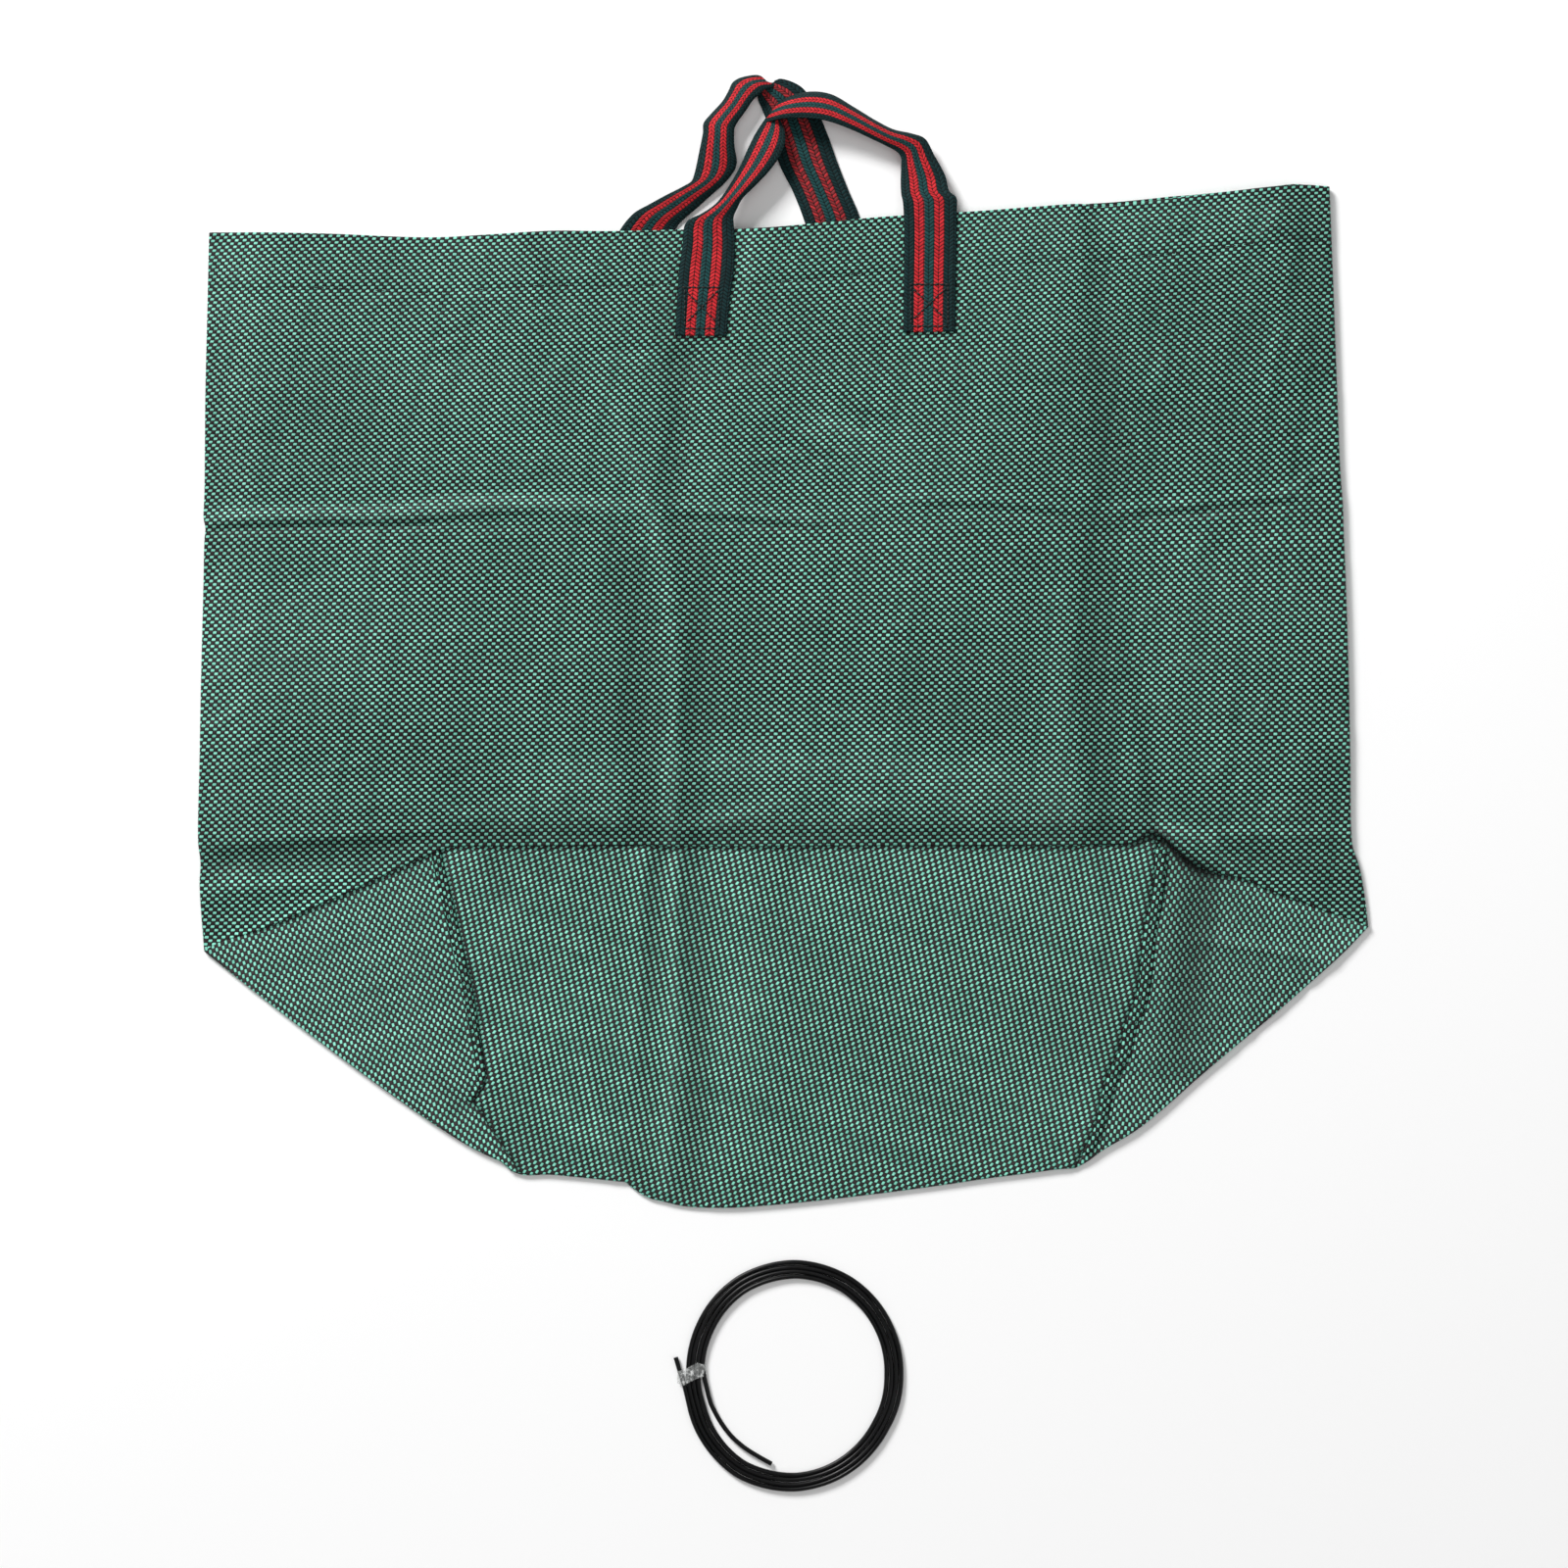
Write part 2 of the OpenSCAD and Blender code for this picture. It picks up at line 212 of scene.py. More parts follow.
class G:
    """Small helper for building node graphs."""

    def __init__(self, nt):
        self.nt = nt

    def put(self, sock, v):
        if hasattr(v, "node"):
            self.nt.links.new(v, sock)
        else:
            sock.default_value = v

    def m(self, op, a, b=None, c=None, clamp=False):
        n = self.nt.nodes.new("ShaderNodeMath")
        n.operation = op
        n.use_clamp = clamp
        self.put(n.inputs[0], a)
        if b is not None:
            self.put(n.inputs[1], b)
        if c is not None:
            self.put(n.inputs[2], c)
        return n.outputs[0]

    def attr(self, name):
        n = self.nt.nodes.new("ShaderNodeAttribute")
        n.attribute_type = "GEOMETRY"
        n.attribute_name = name
        s = self.nt.nodes.new("ShaderNodeSeparateXYZ")
        self.nt.links.new(n.outputs["Vector"], s.inputs[0])
        return s.outputs[0], s.outputs[1], s.outputs[2]

    def combine(self, x, y, z):
        n = self.nt.nodes.new("ShaderNodeCombineXYZ")
        for i, v in enumerate((x, y, z)):
            self.put(n.inputs[i], v)
        return n.outputs[0]

    def noise(self, vec, scale, detail=2.0, rough=0.5):
        n = self.nt.nodes.new("ShaderNodeTexNoise")
        n.inputs["Scale"].default_value = scale
        n.inputs["Detail"].default_value = detail
        n.inputs["Roughness"].default_value = rough
        if vec is not None:
            self.nt.links.new(vec, n.inputs["Vector"])
        return n.outputs["Fac"]

    def white(self, x, y, z=0.0):
        n = self.nt.nodes.new("ShaderNodeTexWhiteNoise")
        n.noise_dimensions = "3D"
        self.nt.links.new(self.combine(x, y, z), n.inputs["Vector"])
        return n.outputs["Value"]

    def object_co(self):
        n = self.nt.nodes.new("ShaderNodeTexCoord")
        return n.outputs["Object"]

    def mix(self, f, a, b):
        n = self.nt.nodes.new("ShaderNodeMix")
        n.data_type = "RGBA"
        n.clamp_factor = True
        self.put(n.inputs["Factor"], f)
        for s, v in ((n.inputs[6], a), (n.inputs[7], b)):
            if hasattr(v, "node"):
                self.nt.links.new(v, s)
            else:
                s.default_value = (*v, 1.0)
        return n.outputs[2]

    def ramp(self, x, lo, hi):
        n = self.nt.nodes.new("ShaderNodeMapRange")
        n.interpolation_type = "SMOOTHSTEP"
        self.put(n.inputs["Value"], x)
        n.inputs["From Min"].default_value = lo
        n.inputs["From Max"].default_value = hi
        return n.outputs["Result"]

    def bump(self, height, strength, distance):
        n = self.nt.nodes.new("ShaderNodeBump")
        n.inputs["Strength"].default_value = strength
        n.inputs["Distance"].default_value = distance
        self.nt.links.new(height, n.inputs["Height"])
        return n.outputs["Normal"]


def woven_cloth(name, green_hi, green_lo, black_hi, black_lo, rough=0.40, sheen=0.0):
    """Plain weave of flat tapes: green one way, black the other. The attribute 'weave' counts tapes."""
    mat, nt, bsdf = new_mat(name)
    g = G(nt)
    u, v, _ = g.attr("weave")
    oc = g.object_co()
    # tapes are never quite straight or evenly packed
    wob = g.m("MULTIPLY", g.m("SUBTRACT", g.noise(oc, 260.0, 2.0), 0.5), 0.22)
    wob2 = g.m("MULTIPLY", g.m("SUBTRACT", g.noise(oc, 330.0, 2.0), 0.5), 0.22)
    u = g.m("ADD", u, wob)
    v = g.m("ADD", v, wob2)
    iu, iv = g.m("FLOOR", u), g.m("FLOOR", v)
    fu, fv = g.m("SUBTRACT", u, iu), g.m("SUBTRACT", v, iv)
    par = g.m("FLOORED_MODULO", g.m("ADD", iu, iv), 2.0)
    cu = g.m("ABSOLUTE", g.m("MULTIPLY_ADD", fu, 2.0, -1.0))
    cv = g.m("ABSOLUTE", g.m("MULTIPLY_ADD", fv, 2.0, -1.0))
    # how high the tape on top stands: flat across, arched along
    def tape(across, along):
        flat = g.m("SUBTRACT", 1.0, g.m("POWER", across, 7.0))
        arch = g.m("SUBTRACT", 1.0, g.m("POWER", along, 2.4))
        return g.m("MULTIPLY", flat, arch)

    hg = tape(cu, cv)
    hb = tape(cv, cu)
    h = g.m("ADD", g.m("MULTIPLY", par, hg), g.m("MULTIPLY", g.m("SUBTRACT", 1.0, par), g.m("MULTIPLY", hb, 0.92)))
    # fine lengthwise streaks of drawn tape
    sg = g.noise(g.combine(g.m("MULTIPLY", u, 9.0), g.m("MULTIPLY", v, 0.8), iu), 1.0, 2.0)
    sb = g.noise(g.combine(g.m("MULTIPLY", u, 0.8), g.m("MULTIPLY", v, 9.0), iv), 1.0, 2.0)
    tone_g = g.m("MULTIPLY_ADD", g.white(iu, 3.7, 0.0), 0.22, g.m("MULTIPLY_ADD", g.white(iu, iv, 1.0), 0.16, g.m("MULTIPLY", sg, 0.5)))
    tone_b = g.m("MULTIPLY_ADD", g.white(iv, 9.1, 0.0), 0.4, g.m("MULTIPLY", sb, 0.6))
    green = g.mix(tone_g, green_lo, green_hi)
    black = g.mix(tone_b, black_lo, black_hi)
    # painted shade: near black where a tape dips under its neighbour and in the gaps between tapes
    green_gap_shade = g.ramp(hg, 0.28, 0.90)
    black_gap_shade = g.ramp(hb, 0.02, 0.5)
    green = g.mix(green_gap_shade, (green_lo[0] * 0.05, green_lo[1] * 0.05, green_lo[2] * 0.05), green)
    black = g.mix(black_gap_shade, (0.002, 0.002, 0.002), black)
    col = g.mix(par, black, green)
    # painted light and shade from the relief, and painted shadows, carried in an attribute: raised creases lighter,
    # hollows darker; a pale painted sheen is mixed in; the colour also varies in soft random patches
    painted_light_shade, painted_sheen, _ = g.attr("painted_light_shade")
    patch = g.m("MULTIPLY_ADD", g.noise(oc, 26.0, 4.0), 0.36, 0.82)
    sc = nt.nodes.new("ShaderNodeVectorMath")
    sc.operation = "SCALE"
    nt.links.new(col, sc.inputs[0])
    nt.links.new(g.m("MULTIPLY", painted_light_shade, patch), sc.inputs["Scale"])
    # pale painted sheen: mixing towards light grey stands in for reflected light
    col = g.mix(painted_sheen, sc.outputs[0], (0.80, 0.84, 0.83))
    nt.links.new(col, bsdf.inputs["Base Color"])
    nt.links.new(g.bump(h, 0.75, 0.00028), bsdf.inputs["Normal"])
    r = g.m("MULTIPLY_ADD", g.noise(oc, 900.0, 2.0), 0.16, rough - 0.06)
    nt.links.new(r, bsdf.inputs["Roughness"])
    bsdf.inputs["Specular IOR Level"].default_value = 0.15
    return mat


def webbing_material(name, dotted=False):
    """Narrow woven webbing in five lengthwise bands with slanted yarns. Attribute 'web': across 0 to 1, along in mm, face."""
    mat, nt, bsdf = new_mat(name)
    g = G(nt)
    a, l, face = g.attr("web")
    oc = g.object_co()
    l = g.m("ADD", l, g.m("MULTIPLY", g.m("SUBTRACT", g.noise(oc, 420.0), 0.5), 0.5))
    w = g.m("MULTIPLY", a, 31.0)
    col_w = 2.95
    ci = g.m("FLOOR", g.m("DIVIDE", g.m("ADD", w, 0.0), col_w))
    cf = g.m("SUBTRACT", g.m("DIVIDE", g.m("ADD", w, 0.0), col_w), ci)
    cc = g.m("ABSOLUTE", g.m("MULTIPLY_ADD", cf, 2.0, -1.0))
    sign = g.m("MULTIPLY_ADD", g.m("FLOORED_MODULO", ci, 2.0), 2.0, -1.0)
    slant = g.m("MULTIPLY", g.m("MULTIPLY", sign, g.m("SUBTRACT", cf, 0.5)), 0.95)
    ph = g.m("ADD", g.m("DIVIDE", l, 2.3), slant)
    pi_ = g.m("FLOOR", ph)
    pf = g.m("SUBTRACT", ph, pi_)
    yarn = g.m("SUBTRACT", 1.0, g.m("POWER", g.m("ABSOLUTE", g.m("MULTIPLY_ADD", pf, 2.0, -1.0)), 2.2))
    side = g.m("SUBTRACT", 1.0, g.m("POWER", cc, 5.0))
    h = g.m("MULTIPLY", yarn, side)
    fine = g.noise(g.combine(g.m("MULTIPLY", w, 5.0), g.m("MULTIPLY", l, 1.2), 0.0), 1.0, 3.0)
    vary = g.m("MULTIPLY_ADD", g.white(ci, pi_, 0.0), 0.35, g.m("MULTIPLY", fine, 0.65))
    # bands: dark, red, teal, red, dark
    def band(lo, hi):
        return g.m("MULTIPLY", g.m("GREATER_THAN", a, lo), g.m("LESS_THAN", a, hi))

    red_m = g.m("ADD", band(0.20, 0.39), band(0.575, 0.765), clamp=True)
    mid_m = band(0.39, 0.575)
    red = g.mix(vary, (0.26, 0.006, 0.010), (0.80, 0.035, 0.045))
    teal = g.mix(vary, (0.004, 0.030, 0.032), (0.016, 0.085, 0.085))
    dark = g.mix(vary, (0.002, 0.010, 0.011), (0.008, 0.038, 0.040))
    lit = g.mix(mid_m, dark, teal)
    lit = g.mix(red_m, lit, red)
    if dotted:
        spot = g.m("FLOORED_MODULO", g.m("ADD", pi_, ci), 2.0)
        lit = g.mix(g.m("MULTIPLY", red_m, g.m("MULTIPLY_ADD", spot, 0.35, 0.30)), lit, dark)
    # painted shade: near black in the gaps between yarns
    yarn_gap_shade = g.ramp(h, 0.06, 0.75)
    col = g.mix(yarn_gap_shade, (0.0015, 0.003, 0.003), lit)
    nt.links.new(col, bsdf.inputs["Base Color"])
    nt.links.new(g.bump(h, 0.7, 0.00035), bsdf.inputs["Normal"])
    bsdf.inputs["Roughness"].default_value = 0.70
    bsdf.inputs["Specular IOR Level"].default_value = 0.16
    return mat


def thread_material():
    mat, nt, bsdf = new_mat("sewing_thread")
    g = G(nt)
    oc = g.object_co()
    n = g.noise(oc, 2600.0, 2.0)
    nt.links.new(g.mix(n, (0.002, 0.003, 0.003), (0.010, 0.014, 0.013)), bsdf.inputs["Base Color"])
    nt.links.new(g.bump(n, 0.4, 0.0001), bsdf.inputs["Normal"])
    bsdf.inputs["Roughness"].default_value = 0.6
    return mat


def rod_material():
    mat, nt, bsdf = new_mat("black_rod")
    g = G(nt)
    oc = g.object_co()
    n = g.noise(oc, 140.0, 4.0, 0.6)
    nt.links.new(g.mix(n, (0.002, 0.002, 0.0022), (0.007, 0.007, 0.0075)), bsdf.inputs["Base Color"])
    nt.links.new(g.m("MULTIPLY_ADD", n, 0.25, 0.22), bsdf.inputs["Roughness"])
    nt.links.new(g.bump(g.noise(oc, 900.0, 3.0), 0.12, 0.0001), bsdf.inputs["Normal"])
    bsdf.inputs["Specular IOR Level"].default_value = 0.26
    return mat


def tape_material():
    mat, nt, bsdf = new_mat("clear_film")
    g = G(nt)
    oc = g.object_co()
    n = g.noise(oc, 420.0, 5.0, 0.65)
    n2 = g.noise(oc, 1500.0, 3.0, 0.6)
    cloud = g.ramp(g.m("MULTIPLY_ADD", n2, 0.35, n), 0.58, 0.98)
    nt.links.new(g.mix(cloud, (0.60, 0.62, 0.61), (0.93, 0.94, 0.93)), bsdf.inputs["Base Color"])
    nt.links.new(g.m("MULTIPLY_ADD", cloud, 0.62, 0.10), bsdf.inputs["Alpha"])
    nt.links.new(g.m("MULTIPLY_ADD", cloud, 0.25, 0.16), bsdf.inputs["Roughness"])
    nt.links.new(g.bump(g.m("MULTIPLY_ADD", n2, 0.5, n), 0.5, 0.0003), bsdf.inputs["Normal"])
    bsdf.inputs["Specular IOR Level"].default_value = 0.6
    return mat


GREEN_HI, GREEN_LO = (0.385, 0.92, 0.735), (0.05, 0.305, 0.22)
BLACK_HI, BLACK_LO = (0.034, 0.022, 0.024), (0.004, 0.003, 0.0035)
M_WALL = woven_cloth("woven_wall", GREEN_HI, GREEN_LO, BLACK_HI, BLACK_LO, 0.40)
M_BASE = woven_cloth("woven_base", GREEN_HI, GREEN_LO, BLACK_HI, BLACK_LO, 0.36)
M_WEB = webbing_material("webbing")
M_WEB_BACK = webbing_material("webbing_reverse", True)
M_THREAD = thread_material()
M_ROD = rod_material()
M_TAPE = tape_material()


# ------------------------------------------------------------------ mesh building
def obj_from(name, verts, faces, mat, smooth=True, attrs=None, flat_faces=None):
    me = bpy.data.meshes.new(name)
    verts = np.asarray(verts, np.float32)
    faces = np.asarray(faces, np.int32)
    n = faces.shape[1]
    me.vertices.add(len(verts))
    me.vertices.foreach_set("co", verts.ravel())
    me.loops.add(faces.size)
    me.loops.foreach_set("vertex_index", faces.ravel())
    me.polygons.add(len(faces))
    me.polygons.foreach_set("loop_start", np.arange(0, faces.size, n, dtype=np.int32))
    me.update(calc_edges=True)
    me.validate()
    sm = np.full(len(me.polygons), smooth)
    if flat_faces is not None and len(flat_faces) == len(me.polygons):
        sm = sm & ~flat_faces
    me.polygons.foreach_set("use_smooth", sm)
    for an, data in (attrs or {}).items():
        at_ = me.attributes.new(an, "FLOAT_VECTOR", "POINT")
        at_.data.foreach_set("vector", np.asarray(data, np.float32).ravel())
    if not isinstance(mat, (list, tuple)):
        mat = [mat]
    for mm in mat:
        me.materials.append(mm)
    me.update()
    ob = bpy.data.objects.new(name, me)
    bpy.context.scene.collection.objects.link(ob)
    return ob


def grid_faces(n, m, off=0, flip=False):
    i, j = np.meshgrid(np.arange(n - 1), np.arange(m - 1), indexing="ij")
    a = (i * m + j).ravel() + off
    q = np.stack([a, a + m, a + m + 1, a + 1], -1)
    return q[:, ::-1] if flip else q


def grid_normals(P):
    du = np.gradient(P, axis=1)
    dv = np.gradient(P, axis=0)
    N = np.cross(-dv, du)
    # x right, y down the grid: -dv points to +Y
    N = np.cross(du, -dv)
    L = np.linalg.norm(N, axis=-1, keepdims=True)
    N = np.where(L > 1e-12, N / np.maximum(L, 1e-12), np.array([0, 0, 1.0]))
    return N


def shell(name, P, thick_mm, mat, attrs):
    """A closed sheet of that thickness about the grid P (rows, columns, 3) in metres. attrs: name -> (rows, columns, 3)."""
    n, m, _ = P.shape
    attrs = dict(attrs)
    if "weave" in attrs and "painted_light_shade" not in attrs:
        attrs["painted_light_shade"] = np.broadcast_to(np.array([1.0, 0.0, 0.0]), P.shape)
    N = grid_normals(P)
    t = np.asarray(thick_mm, float) / 2000.0
    if t.ndim:
        t = t[..., None]
    top, bot = P + N * t, P - N * t
    V = np.concatenate([top.reshape(-1, 3), bot.reshape(-1, 3)])
    k = n * m
    F1 = grid_faces(n, m)
    F2 = grid_faces(n, m, k, True)
    ring = np.concatenate(
        [np.arange(m), np.arange(1, n) * m + m - 1, (n - 1) * m + np.arange(m - 2, -1, -1), np.arange(n - 2, 0, -1) * m]
    )
    nxt = np.roll(ring, -1)
    F3 = np.stack([ring, nxt, nxt + k, ring + k], -1)
    F = np.concatenate([F1, F2, F3])
    flat = np.zeros(len(F), bool)
    flat[len(F1) + len(F2) :] = True
    A = {a: np.concatenate([v.reshape(-1, 3)] * 2) for a, v in attrs.items()}
    return obj_from(name, V, F, mat, True, A, flat)


def tubes(name, runs, radius_mm, mat, sides=6):
    """Many short round runs in one mesh. Each run is (k, 3) points in metres; ends are rounded."""
    V, F, off = [], [], 0
    ang = np.linspace(0, 2 * math.pi, sides, endpoint=False)
    for R in runs:
        R = np.asarray(R, float)
        k = len(R)
        T = np.gradient(R, axis=0)
        T /= np.maximum(np.linalg.norm(T, axis=1, keepdims=True), 1e-12)
        up = np.tile([0, 0, 1.0], (k, 1))
        B = np.cross(T, up)
        B /= np.maximum(np.linalg.norm(B, axis=1, keepdims=True), 1e-9)
        C = np.cross(B, T)
        prof = np.full(k, radius_mm / 1000.0)
        prof[0] *= 0.45
        prof[-1] *= 0.45
        ring = R[:, None] + prof[:, None, None] * (np.cos(ang)[None, :, None] * B[:, None] + np.sin(ang)[None, :, None] * C[:, None])
        V.append(ring.reshape(-1, 3))
        i, j = np.meshgrid(np.arange(k - 1), np.arange(sides), indexing="ij")
        a = i * sides + j
        b = i * sides + (j + 1) % sides
        F.append(np.stack([a, b, b + sides, a + sides], -1).reshape(-1, 4) + off)
        # caps as quads fanned from the ring (six sides give two quads)
        if sides == 6:
            F.append(np.array([[3, 2, 1, 0], [5, 4, 3, 0]]) + off)
            e = off + (k - 1) * sides
            F.append(np.array([[0, 1, 2, 3], [0, 3, 4, 5]]) + e)
        off += k * sides
    return obj_from(name, np.concatenate(V), np.concatenate(F), mat, True)


def stitches(line_xyz, length_mm, gap_mm, rise_mm=0.12, drop_mm=0.18, k=5):
    """Splits a line (metres) into stitches that dip at both ends."""
    C = np.asarray(line_xyz, float)
    d = np.r_[0, np.cumsum(np.linalg.norm(np.diff(C, axis=0), axis=1))]
    step = (length_mm + gap_mm) / 1000.0
    n = max(1, int(d[-1] / step))
    step = d[-1] / n
    runs = []
    for i in range(n):
        t = i * step + np.linspace(0, step - gap_mm / 1000.0, k)
        P = np.stack([np.interp(t, d, C[:, q]) for q in range(3)], -1)
        w = np.sin(np.linspace(0, math.pi, k))
        P[:, 2] += (rise_mm * w - drop_mm * (1 - w)) / 1000.0
        runs.append(P)
    return runs


# ------------------------------------------------------------------ outlines (layout units)
MOUTH = catmull([(213, 237), (330, 239), (440, 243), (500, 240), (560, 236.3), (620, 236.5), (700, 235), (760, 234), (800, 231.5), (900, 222), (1000, 216), (1060, 211.5), (1100, 208.8), (1110, 209.5), (1118, 212.2), (1127, 211.5), (1160, 207.5), (1230, 199), (1327, 188.8), (1357, 190)], 8)
MOUTH_BACK = catmull([(213, 237.5), (330, 239.5), (440, 243.5), (500, 241), (560, 237.3), (620, 237.3), (700, 235.8), (760, 235), (800, 232.3), (900, 222.8), (1000, 217), (1060, 212.5), (1095, 209.5), (1112, 207.2), (1130, 206.2), (1160, 203.6), (1200, 199.4), (1212, 198.6), (1240, 196.0), (1290, 190.8), (1322, 187.0), (1332, 187.8), (1357, 190.5)], 8)
LEFT = catmull([(213, 237), (211, 320), (209, 400), (208.5, 460), (208, 505), (207.2, 528), (209, 538), (208, 552), (207, 600), (204.5, 700), (203, 780), (201.5, 845), (201.8, 862), (204, 880), (203, 902), (204.5, 930), (207.7, 971)], 8)
RIGHT = catmull([(1357, 190), (1361, 290), (1365, 400), (1367.6, 470), (1369.4, 497), (1370.6, 512), (1371.6, 540), (1374, 600), (1377, 700), (1378.4, 780), (1379.3, 848), (1381, 864), (1387, 882), (1391, 900), (1397, 946)], 8)
FOLD = catmull([(207.7, 971), (225, 961.6), (268, 947), (322, 924), (355, 910), (390.6, 893), (416.5, 881), (440, 871), (458, 864.8), (520, 863.2), (610, 862.6), (700, 863.6), (800, 863), (900, 862.6), (1050, 863), (1120, 862.6), (1148, 861), (1164, 855.5), (1177, 850.8), (1187, 854.5), (1204, 872), (1223, 884.5), (1244, 891), (1263, 894.6), (1279, 900), (1292, 906.5), (1311, 913.5), (1330, 920), (1350, 928.5), (1369, 935.5), (1397, 946)], 8)
TIP_L, TIP_R = (207.7, 971.0), (1397.0, 946.0)
DIAG_L = catmull([(207.7, 971), (250, 1005), (300, 1044), (360, 1089), (400, 1118), (440, 1146), (478, 1170), (500, 1181), (511, 1186), (522, 1195.5), (530, 1198.5)], 8)
DIAG_R = catmull([(1397, 946), (1372, 972), (1340, 1001), (1300, 1036), (1260, 1069), (1220, 1103), (1192, 1128), (1159, 1154.5), (1126, 1174), (1108, 1187), (1097, 1192.5)], 8)
BOTTOM = catmull([(530, 1198.5), (536, 1199.6), (559, 1199), (593, 1202), (631, 1206), (639, 1207), (650, 1216), (664, 1223.5), (679, 1227), (696, 1231), (740, 1233), (800, 1229), (880, 1220.5), (960, 1210), (1010, 1202.6), (1050, 1197.6), (1079, 1193.7), (1097, 1192.5)], 8)
SEAM_L = catmull([(447, 850), (447, 861), (452, 885), (461, 919), (468, 952), (474, 978), (480, 1004), (487, 1045), (491.7, 1080), (494.5, 1097), (493, 1106), (486, 1116), (482, 1124), (486, 1132), (503, 1157), (516.5, 1178), (530, 1198.5)], 8)
SEAM_R = catmull([(1180, 850), (1180.5, 868), (1180, 879), (1176, 917), (1169, 946), (1166, 975), (1162.6, 1006), (1157, 1028), (1149, 1046), (1143.6, 1071), (1133.6, 1093), (1125.8, 1115.6), (1121, 1140), (1113.5, 1162), (1104, 1178), (1097, 1192.5)], 8)


def fold_y(x):
    return np.interp(x, FOLD[:, 0], FOLD[:, 1])


def left_x(y):
    return np.interp(y, LEFT[:, 1], LEFT[:, 0])


def right_x(y):
    return np.interp(y, RIGHT[:, 1], RIGHT[:, 0])


# ------------------------------------------------------------------ creases and wrinkles (mm of height)
def crease(X, Y, pts, amps, width, kind="ridge"):
    d, side, t = poly_distance(X, Y, catmull(pts, 6))
    a = np.interp(t, np.linspace(0, 1, len(amps)), amps)
    # distance to the nearer end of the line
    C = catmull(pts, 6)
    de = np.minimum(np.hypot(X - C[0, 0], Y - C[0, 1]), np.hypot(X - C[-1, 0], Y - C[-1, 1]))
    q = d / width
    if kind == "ridge":
        return a * np.exp(-q * q)
    if kind == "sharp":
        return a * np.exp(-q)
    if kind == "step":
        return a * side * q * np.exp(-q * q) * 1.6
    return a * np.exp(-q * q)


def waves(X, Y, seed, count, lo, hi, amp):
    rng = np.random.default_rng(seed)
    z = np.zeros(X.shape)
    for _ in range(count):
        wl = rng.uniform(lo, hi)
        th = rng.uniform(0, math.pi)
        ph = rng.uniform(0, 6.28)
        z += amp * (wl / hi) * np.sin(2 * math.pi * (X * math.cos(th) + Y * math.sin(th)) / wl + ph)
    return z / math.sqrt(count)


def crinkles(X, Y, seed, n, box, length, width, amp, angle, spread):
    """Short soft creases, each a bent ridge or hollow."""
    rng = np.random.default_rng(seed)
    z = np.zeros(X.shape)
    for _ in range(n):
        cx, cy = rng.uniform(box[0], box[2]), rng.uniform(box[1], box[3])
        th = math.radians(angle + rng.normal(0, spread))
        L_ = rng.uniform(*length)
        w_ = rng.uniform(*width)
        a_ = rng.uniform(0.4, 1.0) * amp * rng.choice([1, 1, -1])
        k_ = rng.uniform(-0.006, 0.006)
        m = (np.abs(X - cx) < L_ + 4 * w_) & (np.abs(Y - cy) < L_ + 4 * w_)
        if not m.any():
            continue
        x, y = X[m] - cx, Y[m] - cy
        s = x * math.cos(th) + y * math.sin(th)
        d = -x * math.sin(th) + y * math.cos(th) - k_ * s * s
        z[m] += a_ * np.exp(-((s / (L_ * 0.5)) ** 2)) * np.exp(-np.abs(d / w_) ** 1.5)
    return z


